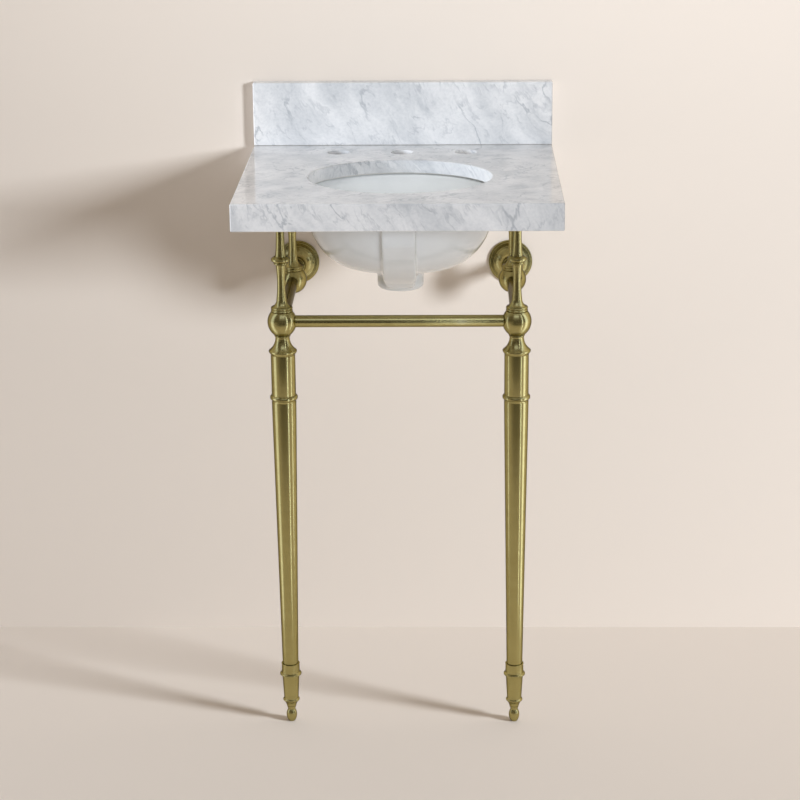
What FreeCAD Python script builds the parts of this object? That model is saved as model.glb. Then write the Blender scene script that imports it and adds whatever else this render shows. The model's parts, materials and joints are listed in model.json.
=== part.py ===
"""Console sink: a marble top with an undermount oval basin, on a turned brass frame held to the wall.

Millimetres, +Z up. The origin is on the floor, in the middle of the width and depth. The front faces -Y,
and the plane of the wall is the plane of the backsplash's rear face.
"""

import FreeCAD
import Part

import math
import os

# Marble top
TOP_WIDTH = 482.6
TOP_DEPTH = 457.0
TOP_HEIGHT = 853.0
SLAB_THICKNESS = 20.0
EDGE_HEIGHT = 41.0
EDGE_STRIP_WIDTH = 40.0
ARRIS_RADIUS = 2.0
BACKSPLASH_HEIGHT = 102.0
BACKSPLASH_THICKNESS = 19.0
BED_THICKNESS = 1.0
BED_SETBACK = 1.5

# Faucet holes
FAUCET_HOLE_RADIUS = 17.5
FAUCET_SPREAD = 203.2
FAUCET_SETBACK = 76.0

# Oval cut-out, by the stone left round it, and basin; the bowl's profile runs in and down from the flange
CUTOUT_SIDE_MARGIN = 101.3
CUTOUT_FRONT_MARGIN = 75.5
CUTOUT_BACK_MARGIN = 139.5
CUTOUT_CHAMFER = 1.5
BASIN_REVEAL = 2.0
BASIN_WALL = 9.0
BASIN_FLANGE_WIDTH = 22.0
BASIN_FLANGE_THICKNESS = 11.0
BOWL_SIDE_RUN = 13.5
BOWL_SIDE_DROP = 46.0
BOWL_CORNER_RUN = 53.5
BOWL_CORNER_DROP = 58.5
BOWL_CORNER_BOW = 9.2
BOWL_FLOOR_END_RADIUS = 19.5
BOWL_FLOOR_DROP = 10.0
SEAL_THICKNESS = 2.0
SEAL_WIDTH = 12.0
DRAIN_RADIUS = 22.5
DRAIN_BOSS_RADIUS = 36.0
DRAIN_BOSS_LENGTH = 26.0
DRAIN_BOSS_EASE = 4.0
OVERFLOW_WIDTH = 50.0
OVERFLOW_TOE_WIDTH = 42.0
OVERFLOW_PROUD = 14.0
OVERFLOW_TOE_PROUD = 3.0
OVERFLOW_TOE_LIFT = 8.0
OVERFLOW_WALL = 6.0
OVERFLOW_HOLE_RADIUS = 4.0
OVERFLOW_HOLE_DROP = 32.0

# Basin clips, at this bearing from the X axis in each quarter
CLIP_BEARING = 36.0
CLIP_STUD_GAP = 12.0
CLIP_STUD_RADIUS = 3.0
CLIP_STUD_DEPTH = 12.0
CLIP_STUD_TAIL = 14.0
CLIP_HOLE_CLEARANCE = 0.4
CLIP_THICKNESS = 2.5
CLIP_WIDTH = 18.0
CLIP_BITE = 9.0
CLIP_HEEL = 12.0
WING_NUT_RADIUS = 6.0
WING_NUT_HEIGHT = 6.0
WING_SPAN = 24.0
WING_HEIGHT = 10.0
WING_THICKNESS = 2.0

# Frame plan: post centres in from the top's sides, front and back, and the rails' depth below the top
POST_SIDE_INSET = 65.5
FRONT_POST_INSET = 86.0
REAR_POST_SETBACK = 118.5
RAIL_DROP = 198.0

# Hubs where posts, rails and legs meet
HUB_RADIUS = 22.0
HUB_TOP_RADIUS = 16.0
HUB_RISE = 15.5
HUB_DROP = 21.0
HUB_BOTTOM_RADIUS = 11.6
REAR_HUB_DROP = 22.0
REAR_HUB_BUTTON_RADIUS = 5.0
HUB_SOCKET_DEPTH = 5.0
HUB_CORE = 9.0

# Rails
RAIL_RADIUS = 9.0
RAIL_WALL = 1.5
RAIL_PLUG_LENGTH = 24.0

# Turned posts between hubs and slab
POST_COLLAR_RADIUS = 16.8
POST_COLLAR_GROOVE_RADIUS = 15.2
POST_BEAD_HEIGHT = 3.8
POST_THROAT_RADIUS = 13.4
POST_THROAT_HEIGHT = 12.0
POST_THROAT_HOLLOW = 1.6
POST_SHAFT_RADIUS = 7.6
POST_LOWER_WAIST = 1.6
POST_RING_RADIUS = 14.5
POST_RING_HEIGHT = 9.0
POST_RING_LIFT = 75.5
POST_RING_NECK_RADIUS = 10.2
POST_RING_BEAD_RADIUS = 10.8
POST_RING_BEAD_HEIGHT = 4.0
POST_TOP_RADIUS = 9.0
POST_UPPER_RADIUS = 8.2
POST_UPPER_WAIST = 2.4
STUD_RADIUS = 4.0
POST_STUD_ENGAGEMENT = 9.0
POST_FLANGE_RADIUS = 18.0
POST_FLANGE_THICKNESS = 5.0
PAD_THICKNESS = 2.0
PAD_SETBACK = 1.0

# Turned neck under each front hub
NECK_HEIGHT = 30.0
NECK_BEAD_RADIUS = 12.4
NECK_BEAD_HEIGHT = 2.0
NECK_WAIST_RADIUS = 10.9
NECK_WAIST_DROP = 5.5
NECK_LIP_RADIUS = 21.2
NECK_LIP_HEIGHT = 2.0
NECK_LIP_LIFT = 4.3
NECK_FLARE_BOW = -2.4

# Legs
UPPER_TUBE_RADIUS = 18.4
UPPER_TUBE_LENGTH = 63.5
LEG_WALL = 1.6
LEG_SPIGOT_LENGTH = 8.0
LEG_RING_HEIGHT = 11.0
LEG_RING_RADIUS = 21.0
LEG_RING_EDGE = 3.4
LEG_RING_BAND = 2.2
TAPER_TOP_RADIUS = 18.6
TAPER_BOTTOM_RADIUS = 12.4
TIE_ROD_CLEARANCE = 0.3
TIE_ROD_ENGAGEMENT = 14.0

# Ferrules
FERRULE_HEIGHT = 73.0
FERRULE_LIP_RADIUS = 14.4
FERRULE_LIP_HEIGHT = 2.4
FERRULE_BAND_RADIUS = 14.0
FERRULE_BAND_HEIGHT = 13.0
FERRULE_RING_RADIUS = 16.8
FERRULE_RING_HEIGHT = 5.0
FERRULE_CONE_TOP_RADIUS = 13.4
FERRULE_CONE_BOTTOM_RADIUS = 11.2
FERRULE_TOE_RADIUS = 13.0
FERRULE_TOE_HEIGHT = 4.2
FERRULE_NOSE_RADIUS = 7.4
FERRULE_NOSE_HEIGHT = 9.0
FERRULE_NOSE_BOW = -0.9

# Levelling feet
FOOT_HEIGHT = 26.0
FOOT_GAP = 0.3
FOOT_NECK_RADIUS = 5.5
FOOT_BALL_RADIUS = 8.3
FOOT_BALL_LIFT = 11.0
FOOT_BALL_NECK_LIFT = 20.0
FOOT_PAD_RADIUS = 5.0
FOOT_STUD_LENGTH = 34.0
FOOT_STUD_CLEARANCE = 0.05
FOOT_STUD_END_GAP = 4.0

# Wall brackets
SPIGOT_RADIUS = 10.5
SPIGOT_TAIL_RADIUS = 6.0
WALL_PLATE_RADIUS = 25.0
WALL_PLATE_THICKNESS = 4.0
WALL_SCREW_RADIUS = 2.75
WALL_SCREW_SPACING = 34.0
ROSETTE_RADIUS = 35.8
ROSETTE_RIM_HEIGHT = 4.5
ROSETTE_STEP_RADIUS = 33.4
ROSETTE_STEP_HEIGHT = 2.5
ROSETTE_FACE_RADIUS = 28.0
ROSETTE_FACE_HEIGHT = 2.0
ROSETTE_NECK_RADIUS = 13.0
ROSETTE_NECK_HEIGHT = 5.0
ROSETTE_DEPTH = 32.0
ROSETTE_BOW = -4.5
ROSETTE_WALL = 2.5
ROSETTE_CLEARANCE = 0.05

# Places worked out from the sizes above
WALL_Y = TOP_DEPTH / 2
FRONT_Y = -TOP_DEPTH / 2
UNDERSIDE = TOP_HEIGHT - SLAB_THICKNESS
CUTOUT_WIDTH = TOP_WIDTH - 2 * CUTOUT_SIDE_MARGIN
CUTOUT_DEPTH = TOP_DEPTH - CUTOUT_FRONT_MARGIN - CUTOUT_BACK_MARGIN
BASIN_Y = FRONT_Y + CUTOUT_FRONT_MARGIN + CUTOUT_DEPTH / 2
FRONT_POST_Y = FRONT_Y + FRONT_POST_INSET
REAR_POST_Y = WALL_Y - REAR_POST_SETBACK
POST_X = TOP_WIDTH / 2 - POST_SIDE_INSET
RAIL_HEIGHT = TOP_HEIGHT - RAIL_DROP
FRONT_POSTS = [(-POST_X, FRONT_POST_Y), (POST_X, FRONT_POST_Y)]
REAR_POSTS = [(-POST_X, REAR_POST_Y), (POST_X, REAR_POST_Y)]
HUB_TOP = RAIL_HEIGHT + HUB_RISE
HUB_BOTTOM = RAIL_HEIGHT - HUB_DROP
FLANGE_BOTTOM = UNDERSIDE - PAD_THICKNESS - POST_FLANGE_THICKNESS
TUBE_TOP = HUB_BOTTOM - NECK_HEIGHT
RING_TOP = TUBE_TOP - UPPER_TUBE_LENGTH
TAPER_TOP = RING_TOP - LEG_RING_HEIGHT
FERRULE_TOP = FOOT_HEIGHT + FERRULE_HEIGHT
RAIL_INSET = HUB_RADIUS - HUB_SOCKET_DEPTH
RAIL_BORE_RADIUS = RAIL_RADIUS - RAIL_WALL
RIM_TOP = UNDERSIDE - SEAL_THICKNESS
FLANGE_UNDERSIDE = RIM_TOP - BASIN_FLANGE_THICKNESS
CORNER_TOP = FLANGE_UNDERSIDE - BOWL_SIDE_DROP
CORNER_FOOT = CORNER_TOP - BOWL_CORNER_DROP
BOWL_FLOOR = CORNER_FOOT - BOWL_FLOOR_DROP
BOSS_BOTTOM = BOWL_FLOOR - DRAIN_BOSS_LENGTH
OVAL_LONG = max(CUTOUT_WIDTH, CUTOUT_DEPTH) / 2
OVAL_SHORT = min(CUTOUT_WIDTH, CUTOUT_DEPTH) / 2
OVAL_SPARE = OVAL_LONG - OVAL_SHORT
OVAL_END_RADIUS = OVAL_SHORT - OVAL_SPARE / 2
OVAL_SIDE_RADIUS = OVAL_SHORT + OVAL_SPARE * 2
BOWL_FLOOR_EDGE = BOWL_FLOOR_END_RADIUS - OVAL_END_RADIUS

Z_AXIS = FreeCAD.Vector(0, 0, 1)


def outline_edges(points):
    """Closed edges through (radius, height) points, where a third value bows the run that ends there.

    The bow is how far the middle of an arc stands off its chord, outwards where it is positive.
    """
    edges = []
    for here, there in zip(points, points[1:] + points[:1]):
        start = FreeCAD.Vector(here[0], 0, here[1])
        end = FreeCAD.Vector(there[0], 0, there[1])
        if len(there) == 2:
            edges.append(Part.LineSegment(start, end).toShape())
            continue
        across = (end - start).cross(FreeCAD.Vector(0, 1, 0)).normalize()
        if across.x < 0:
            across = across * -1
        middle = (start + end) * 0.5 + across * there[2]
        edges.append(Part.Arc(start, middle, end).toShape())
    return edges


def turned(points, x=0.0, y=0.0):
    """Solid turned about the vertical line through (x, y)."""
    face = Part.Face(Part.Wire(outline_edges(points)))
    solid = face.revolve(FreeCAD.Vector(0, 0, 0), Z_AXIS, 360)
    solid.translate(FreeCAD.Vector(x, y, 0))
    return solid


def crown_bow(radius, end_radius, rise):
    """Bow of the arc that leaves a ball's equator upright and ends at a smaller radius, rise away."""
    inward = radius - end_radius
    arc_radius = (inward**2 + rise**2) / (2 * inward)
    half_chord = math.hypot(inward, rise) / 2
    return arc_radius - math.sqrt(arc_radius**2 - half_chord**2)


def rod(radius, start, end):
    """Solid cylinder from one point to another."""
    along = FreeCAD.Vector(*end) - FreeCAD.Vector(*start)
    return Part.makeCylinder(radius, along.Length, FreeCAD.Vector(*start), along)


def block(low, high):
    """Box between two corners."""
    size = [b - a for a, b in zip(low, high)]
    return Part.makeBox(size[0], size[1], size[2], FreeCAD.Vector(*low))


def oval_form(points):
    """Solid with the plan of the cut-out's oval and a profile of (distance outside that oval, height) points.

    The oval is four tangent arcs, whose centres make 3-4-5 triangles with the middle of the oval.
    """
    half_turn = math.degrees(math.atan2(4, 3))
    sectors = [
        (OVAL_SPARE * 1.5, 0, OVAL_END_RADIUS, -half_turn, 2 * half_turn),
        (-OVAL_SPARE * 1.5, 0, OVAL_END_RADIUS, 180 - half_turn, 2 * half_turn),
        (0, -OVAL_SPARE * 2, OVAL_SIDE_RADIUS, half_turn, 180 - 2 * half_turn),
        (0, OVAL_SPARE * 2, OVAL_SIDE_RADIUS, 180 + half_turn, 180 - 2 * half_turn),
    ]
    solids = []
    for x, y, radius, start, sweep in sectors:
        profile = [(radius + p[0], *p[1:]) for p in points]
        closed = [(0, points[0][1]), *profile, (0, points[-1][1])]
        face = Part.Face(Part.Wire(outline_edges(closed)))
        face.rotate(FreeCAD.Vector(0, 0, 0), Z_AXIS, start)
        solid = face.revolve(FreeCAD.Vector(0, 0, 0), Z_AXIS, sweep)
        solid.translate(FreeCAD.Vector(x, y, 0))
        solids.append(solid)
    form = solids[0].fuse(solids[1:]).removeSplitter()
    if CUTOUT_DEPTH > CUTOUT_WIDTH:
        form.rotate(FreeCAD.Vector(0, 0, 0), Z_AXIS, 90)
    form.translate(FreeCAD.Vector(0, BASIN_Y, 0))
    return form


def oval_disc(outside, bottom, top):
    """Upright-sided oval, this far outside the cut-out, between two heights."""
    return oval_form([(outside, top), (outside, bottom)])


def eased(solid, is_arris):
    """The solid with its straight edges rounded where is_arris(middle of the edge) is true."""
    edges = [e for e in solid.Edges if is_arris(e.CenterOfMass)]
    return solid.makeFillet(ARRIS_RADIUS, edges)


def near(a, b):
    return abs(a - b) < 1e-4


def clip_places():
    """Centre of each basin clip's stud, and its bearing in degrees from the basin's middle."""
    outside = BASIN_REVEAL + BASIN_FLANGE_WIDTH + CLIP_STUD_GAP
    reach_x = CUTOUT_WIDTH / 2 + outside
    reach_y = CUTOUT_DEPTH / 2 + outside
    places = []
    for quarter in (CLIP_BEARING, 180 - CLIP_BEARING, 180 + CLIP_BEARING, 360 - CLIP_BEARING):
        x = reach_x * math.cos(math.radians(quarter))
        y = reach_y * math.sin(math.radians(quarter))
        places.append((x, BASIN_Y + y, math.degrees(math.atan2(y, x))))
    return places


# Marble

def countertop_slab():
    half = TOP_WIDTH / 2
    slab = block((-half, FRONT_Y, UNDERSIDE), (half, WALL_Y, TOP_HEIGHT))

    def is_arris(p):
        top_edge = near(p.z, TOP_HEIGHT) and not near(p.y, WALL_Y)
        front_corner = near(abs(p.x), half) and near(p.y, FRONT_Y)
        return top_edge or front_corner

    slab = eased(slab, is_arris)
    slab = slab.cut(oval_disc(0, UNDERSIDE - 1, TOP_HEIGHT + 1))
    slab = slab.cut(oval_form([(CUTOUT_CHAMFER, TOP_HEIGHT), (0, TOP_HEIGHT - CUTOUT_CHAMFER)]))
    for x in (-FAUCET_SPREAD / 2, 0, FAUCET_SPREAD / 2):
        y = WALL_Y - FAUCET_SETBACK
        slab = slab.cut(rod(FAUCET_HOLE_RADIUS, (x, y, UNDERSIDE - 1), (x, y, TOP_HEIGHT + 1)))
    for x, y, bearing in clip_places():
        slab = slab.cut(rod(CLIP_STUD_RADIUS, (x, y, UNDERSIDE - 1), (x, y, UNDERSIDE + CLIP_STUD_DEPTH)))
    return slab


def edge_strip_front():
    half = TOP_WIDTH / 2
    bottom = TOP_HEIGHT - EDGE_HEIGHT
    strip = block((-half, FRONT_Y, bottom), (half, FRONT_Y + EDGE_STRIP_WIDTH, UNDERSIDE))

    def is_arris(p):
        bottom_edge = near(p.z, bottom) and (near(p.y, FRONT_Y) or near(abs(p.x), half))
        front_corner = near(abs(p.x), half) and near(p.y, FRONT_Y)
        return bottom_edge or front_corner

    return eased(strip, is_arris)


def edge_strip_side(side):
    half = TOP_WIDTH / 2
    bottom = TOP_HEIGHT - EDGE_HEIGHT
    x_low, x_high = sorted((side * half, side * (half - EDGE_STRIP_WIDTH)))
    strip = block((x_low, FRONT_Y + EDGE_STRIP_WIDTH, bottom), (x_high, WALL_Y, UNDERSIDE))
    return eased(strip, lambda p: near(p.z, bottom) and near(p.x, side * half))


def backsplash_bed():
    half = TOP_WIDTH / 2 - BED_SETBACK
    front = WALL_Y - BACKSPLASH_THICKNESS + BED_SETBACK
    return block((-half, front, TOP_HEIGHT), (half, WALL_Y - BED_SETBACK, TOP_HEIGHT + BED_THICKNESS))


def backsplash():
    half = TOP_WIDTH / 2
    front = WALL_Y - BACKSPLASH_THICKNESS
    top = TOP_HEIGHT + BACKSPLASH_HEIGHT
    panel = block((-half, front, TOP_HEIGHT + BED_THICKNESS), (half, WALL_Y, top))
    return eased(
        panel,
        lambda p: (near(p.z, top) and not near(p.y, WALL_Y)) or (near(abs(p.x), half) and near(p.y, front)),
    )


# Basin

def bowl_outside():
    """Outer form of the bowl and its flange, solid right through."""
    flange = BASIN_REVEAL + BASIN_FLANGE_WIDTH
    side = BASIN_REVEAL + BASIN_WALL
    corner = side - BOWL_SIDE_RUN
    foot = corner - BOWL_CORNER_RUN
    return oval_form(
        [
            (flange, RIM_TOP),
            (flange, FLANGE_UNDERSIDE),
            (side, FLANGE_UNDERSIDE),
            (corner, CORNER_TOP),
            (foot, CORNER_FOOT, BOWL_CORNER_BOW),
            (BOWL_FLOOR_EDGE, BOWL_FLOOR),
        ]
    )


def bowl_inside():
    """The space in the bowl, a wall's thickness inside the outer form, from its floor to above its rim."""
    corner = BASIN_REVEAL - BOWL_SIDE_RUN
    foot = corner + BASIN_WALL - BOWL_CORNER_RUN
    return oval_form(
        [
            (BASIN_REVEAL, RIM_TOP + 1),
            (BASIN_REVEAL, FLANGE_UNDERSIDE),
            (corner, CORNER_TOP),
            (foot, CORNER_FOOT + BASIN_WALL, BOWL_CORNER_BOW),
            (BOWL_FLOOR_EDGE, BOWL_FLOOR + BASIN_WALL),
        ]
    )


def overflow_form(inset):
    """The overflow channel down the bowl's front, or its duct when inset by the channel's wall."""
    top = FLANGE_UNDERSIDE - inset
    toe = BOSS_BOTTOM + OVERFLOW_TOE_LIFT + inset
    side_out = CUTOUT_DEPTH / 2 + BASIN_REVEAL + BASIN_WALL + OVERFLOW_PROUD / 2 - inset
    corner_out = side_out + OVERFLOW_PROUD / 2 - BOWL_SIDE_RUN
    elbow_out = DRAIN_BOSS_RADIUS + OVERFLOW_PROUD - inset
    toe_out = DRAIN_BOSS_RADIUS + OVERFLOW_TOE_PROUD - inset
    elbow = (BOWL_FLOOR + toe) / 2
    half = OVERFLOW_WIDTH / 2 - inset
    half_toe = OVERFLOW_TOE_WIDTH / 2 - inset
    profile = [
        (0, top),
        (side_out, top),
        (corner_out, CORNER_TOP),
        (elbow_out, elbow, BOWL_CORNER_BOW),
        (toe_out, toe),
        (0, toe),
    ]
    slab = Part.Face(Part.Wire(outline_edges(profile))).extrude(FreeCAD.Vector(0, 2 * half, 0))
    slab.translate(FreeCAD.Vector(0, -half, 0))
    slab.rotate(FreeCAD.Vector(0, 0, 0), Z_AXIS, -90)
    front = [
        (-half_toe, toe - 1),
        (half_toe, toe - 1),
        (half, BOWL_FLOOR),
        (half, top + 1),
        (-half, top + 1),
        (-half, BOWL_FLOOR),
    ]
    plan = Part.Face(Part.Wire(outline_edges(front))).extrude(FreeCAD.Vector(0, -TOP_DEPTH, 0))
    slab = slab.common(plan)
    slab.translate(FreeCAD.Vector(0, BASIN_Y, 0))
    return slab


def basin():
    outside = bowl_outside()
    boss = turned(
        [
            (0, BOWL_FLOOR + BASIN_WALL / 2),
            (DRAIN_BOSS_RADIUS, BOWL_FLOOR + BASIN_WALL / 2),
            (DRAIN_BOSS_RADIUS, BOSS_BOTTOM + DRAIN_BOSS_EASE),
            (DRAIN_BOSS_RADIUS - DRAIN_BOSS_EASE, BOSS_BOTTOM),
            (0, BOSS_BOTTOM),
        ],
        0,
        BASIN_Y,
    )
    duct = overflow_form(OVERFLOW_WALL).cut(outside)
    drain = rod(DRAIN_RADIUS, (0, BASIN_Y, BOSS_BOTTOM - 1), (0, BASIN_Y, BOWL_FLOOR + BASIN_WALL + 1))
    hole_z = RIM_TOP - OVERFLOW_HOLE_DROP
    hole_end = BASIN_Y - CUTOUT_DEPTH / 2 - OVERFLOW_PROUD / 2
    hole = rod(OVERFLOW_HOLE_RADIUS, (0, BASIN_Y, hole_z), (0, hole_end, hole_z))
    body = outside.fuse([boss, overflow_form(0)])
    for space in (bowl_inside(), duct, drain, hole):
        body = body.cut(space)
    return body


def basin_seal():
    ring = oval_disc(BASIN_REVEAL + SEAL_WIDTH, RIM_TOP, UNDERSIDE)
    return ring.cut(oval_disc(BASIN_REVEAL, RIM_TOP - 1, UNDERSIDE + 1))


def turned_to(solid, place):
    """A solid made about the origin along +X, turned to a clip's bearing and moved to its stud."""
    x, y, bearing = place
    solid.rotate(FreeCAD.Vector(0, 0, 0), Z_AXIS, bearing)
    solid.translate(FreeCAD.Vector(x, y, 0))
    return solid


def basin_clip_stud(place):
    bottom = FLANGE_UNDERSIDE - CLIP_THICKNESS - CLIP_STUD_TAIL
    return turned_to(rod(CLIP_STUD_RADIUS, (0, 0, bottom), (0, 0, UNDERSIDE + CLIP_STUD_DEPTH)), place)


def basin_clip(place):
    """Plate that presses up on the flange at its inner end, with a heel up to the slab at its outer end."""
    inner = -(CLIP_STUD_GAP + CLIP_BITE)
    half = CLIP_WIDTH / 2
    plate = block((inner, -half, FLANGE_UNDERSIDE - CLIP_THICKNESS), (CLIP_HEEL, half, FLANGE_UNDERSIDE))
    heel = block((CLIP_HEEL - CLIP_THICKNESS, -half, FLANGE_UNDERSIDE), (CLIP_HEEL, half, UNDERSIDE))
    hole_radius = CLIP_STUD_RADIUS + CLIP_HOLE_CLEARANCE
    hole = rod(hole_radius, (0, 0, FLANGE_UNDERSIDE - CLIP_THICKNESS - 1), (0, 0, FLANGE_UNDERSIDE + 1))
    return turned_to(plate.fuse(heel).cut(hole), place)


def basin_clip_nut(place):
    top = FLANGE_UNDERSIDE - CLIP_THICKNESS
    hub = rod(WING_NUT_RADIUS, (0, 0, top - WING_NUT_HEIGHT), (0, 0, top))
    half = WING_THICKNESS / 2
    wing_top = top - WING_NUT_HEIGHT / 2
    wings = block((-half, -WING_SPAN / 2, wing_top - WING_HEIGHT), (half, WING_SPAN / 2, wing_top))
    hole = rod(CLIP_STUD_RADIUS, (0, 0, wing_top - WING_HEIGHT - 1), (0, 0, top + 1))
    return turned_to(hub.fuse(wings).cut(hole), place)


# Hubs

def hub(x, y, foot, is_front):
    """Onion-shaped hub on a post centre, bored for the rails, the studs and the leg or wall spigot.

    foot is where its underside ends, as (radius, distance below the widest part).
    """
    foot_radius, drop = foot
    solid = turned(
        [
            (0, HUB_TOP),
            (HUB_TOP_RADIUS, HUB_TOP),
            (HUB_RADIUS, RAIL_HEIGHT, crown_bow(HUB_RADIUS, HUB_TOP_RADIUS, HUB_RISE)),
            (foot_radius, RAIL_HEIGHT - drop, crown_bow(HUB_RADIUS, foot_radius, drop)),
            (0, RAIL_HEIGHT - drop),
        ],
        x,
        y,
    )
    z = RAIL_HEIGHT
    inward = -math.copysign(1, x)
    toward_wall = 1 if is_front else -1
    bores = [
        rod(RAIL_RADIUS, (x, y + toward_wall * RAIL_INSET, z), (x, y + toward_wall * 2 * HUB_RADIUS, z)),
        rod(RAIL_BORE_RADIUS, (x, y + toward_wall * HUB_CORE, z), (x, y + toward_wall * 2 * HUB_RADIUS, z)),
        rod(STUD_RADIUS, (x, y, HUB_TOP - POST_STUD_ENGAGEMENT), (x, y, HUB_TOP + 1)),
    ]
    if is_front:
        bores.append(rod(RAIL_RADIUS, (x + inward * RAIL_INSET, y, z), (x + inward * 2 * HUB_RADIUS, y, z)))
        bores.append(rod(RAIL_BORE_RADIUS, (x + inward * HUB_CORE, y, z), (x + inward * 2 * HUB_RADIUS, y, z)))
        bores.append(rod(STUD_RADIUS, (x, y, HUB_BOTTOM - 1), (x, y, HUB_BOTTOM + POST_STUD_ENGAGEMENT)))
    else:
        bores.append(rod(SPIGOT_RADIUS, (x, y + RAIL_INSET, z), (x, y + 2 * HUB_RADIUS, z)))
        bores.append(rod(RAIL_BORE_RADIUS, (x, y + HUB_CORE, z), (x, y + 2 * HUB_RADIUS, z)))
    for bore in bores:
        solid = solid.cut(bore)
    return solid


# Rails

def rail(start, end):
    """Tube between two hubs, bottomed in their sockets."""
    along = (FreeCAD.Vector(*end) - FreeCAD.Vector(*start)).normalize() * RAIL_INSET
    tube_start = FreeCAD.Vector(*start) + along
    tube_end = FreeCAD.Vector(*end) - along
    tube = rod(RAIL_RADIUS, tube_start, tube_end)
    return tube.cut(rod(RAIL_BORE_RADIUS, tube_start - along, tube_end + along))


def rail_plug(hub_centre, other):
    """Solid plug from the bottom of a hub's bore into the rail's tube."""
    along = (FreeCAD.Vector(*other) - FreeCAD.Vector(*hub_centre)).normalize()
    start = FreeCAD.Vector(*hub_centre) + along * HUB_CORE
    return rod(RAIL_BORE_RADIUS, start, start + along * RAIL_PLUG_LENGTH)


# Posts

def post(x, y):
    """Turned post from a hub up to the flange under the slab."""
    ring_bottom = HUB_TOP + POST_RING_LIFT
    ring_top = ring_bottom + POST_RING_HEIGHT
    bead_top = HUB_TOP + 2 * POST_BEAD_HEIGHT
    throat_top = bead_top + POST_THROAT_HEIGHT
    ring_bead_bottom = ring_bottom - POST_RING_BEAD_HEIGHT
    solid = turned(
        [
            (0, HUB_TOP),
            (POST_COLLAR_GROOVE_RADIUS, HUB_TOP),
            (POST_COLLAR_RADIUS, HUB_TOP + POST_BEAD_HEIGHT / 2),
            (POST_COLLAR_GROOVE_RADIUS, HUB_TOP + POST_BEAD_HEIGHT),
            (POST_COLLAR_RADIUS, HUB_TOP + POST_BEAD_HEIGHT * 1.5),
            (POST_COLLAR_GROOVE_RADIUS, bead_top),
            (POST_THROAT_RADIUS, bead_top),
            (POST_SHAFT_RADIUS, throat_top, -POST_THROAT_HOLLOW),
            (POST_SHAFT_RADIUS, ring_bead_bottom, -POST_LOWER_WAIST),
            (POST_RING_BEAD_RADIUS, ring_bead_bottom + POST_RING_BEAD_HEIGHT / 2),
            (POST_RING_NECK_RADIUS, ring_bottom),
            (POST_RING_RADIUS, ring_bottom + POST_RING_HEIGHT / 3),
            (POST_RING_RADIUS, ring_top - POST_RING_HEIGHT / 3),
            (POST_RING_NECK_RADIUS, ring_top),
            (POST_UPPER_RADIUS, ring_top),
            (POST_TOP_RADIUS, FLANGE_BOTTOM, -POST_UPPER_WAIST),
            (0, FLANGE_BOTTOM),
        ],
        x,
        y,
    )
    solid = solid.cut(rod(STUD_RADIUS, (x, y, HUB_TOP - 1), (x, y, HUB_TOP + POST_STUD_ENGAGEMENT)))
    top_bore = rod(STUD_RADIUS, (x, y, FLANGE_BOTTOM - POST_STUD_ENGAGEMENT), (x, y, FLANGE_BOTTOM + 1))
    return solid.cut(top_bore)


def post_stud(x, y):
    return rod(STUD_RADIUS, (x, y, HUB_TOP - POST_STUD_ENGAGEMENT), (x, y, HUB_TOP + POST_STUD_ENGAGEMENT))


def post_flange(x, y):
    """Disc under the slab with the threaded spigot that the post screws on to."""
    disc = rod(POST_FLANGE_RADIUS, (x, y, FLANGE_BOTTOM), (x, y, FLANGE_BOTTOM + POST_FLANGE_THICKNESS))
    return disc.fuse(rod(STUD_RADIUS, (x, y, FLANGE_BOTTOM - POST_STUD_ENGAGEMENT), (x, y, FLANGE_BOTTOM)))


def flange_pad(x, y):
    return rod(POST_FLANGE_RADIUS - PAD_SETBACK, (x, y, UNDERSIDE - PAD_THICKNESS), (x, y, UNDERSIDE))


# Legs

def leg_bore(bottom, top, x, y):
    """Clearance hole for the tie rod, run past both ends of a piece."""
    return rod(STUD_RADIUS + TIE_ROD_CLEARANCE, (x, y, bottom - 1), (x, y, top + 1))


def leg_neck(x, y):
    """Turned neck from the hub's underside to the upper tube, with a spigot down into the tube."""
    bead_bottom = HUB_BOTTOM - NECK_BEAD_HEIGHT
    waist = HUB_BOTTOM - NECK_WAIST_DROP
    lip_bottom = TUBE_TOP + NECK_LIP_LIFT
    lip_top = lip_bottom + NECK_LIP_HEIGHT
    spigot_radius = UPPER_TUBE_RADIUS - LEG_WALL
    solid = turned(
        [
            (0, HUB_BOTTOM),
            (HUB_BOTTOM_RADIUS, HUB_BOTTOM),
            (NECK_BEAD_RADIUS, HUB_BOTTOM - NECK_BEAD_HEIGHT / 2),
            (HUB_BOTTOM_RADIUS, bead_bottom),
            (NECK_WAIST_RADIUS, waist),
            (NECK_LIP_RADIUS, lip_top, NECK_FLARE_BOW),
            (NECK_LIP_RADIUS, lip_bottom),
            (UPPER_TUBE_RADIUS, TUBE_TOP),
            (spigot_radius, TUBE_TOP),
            (spigot_radius, TUBE_TOP - LEG_SPIGOT_LENGTH),
            (0, TUBE_TOP - LEG_SPIGOT_LENGTH),
        ],
        x,
        y,
    )
    return solid.cut(leg_bore(TUBE_TOP - LEG_SPIGOT_LENGTH, HUB_BOTTOM, x, y))


def upper_tube(x, y):
    tube = rod(UPPER_TUBE_RADIUS, (x, y, RING_TOP), (x, y, TUBE_TOP))
    return tube.cut(rod(UPPER_TUBE_RADIUS - LEG_WALL, (x, y, RING_TOP - 1), (x, y, TUBE_TOP + 1)))


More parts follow.
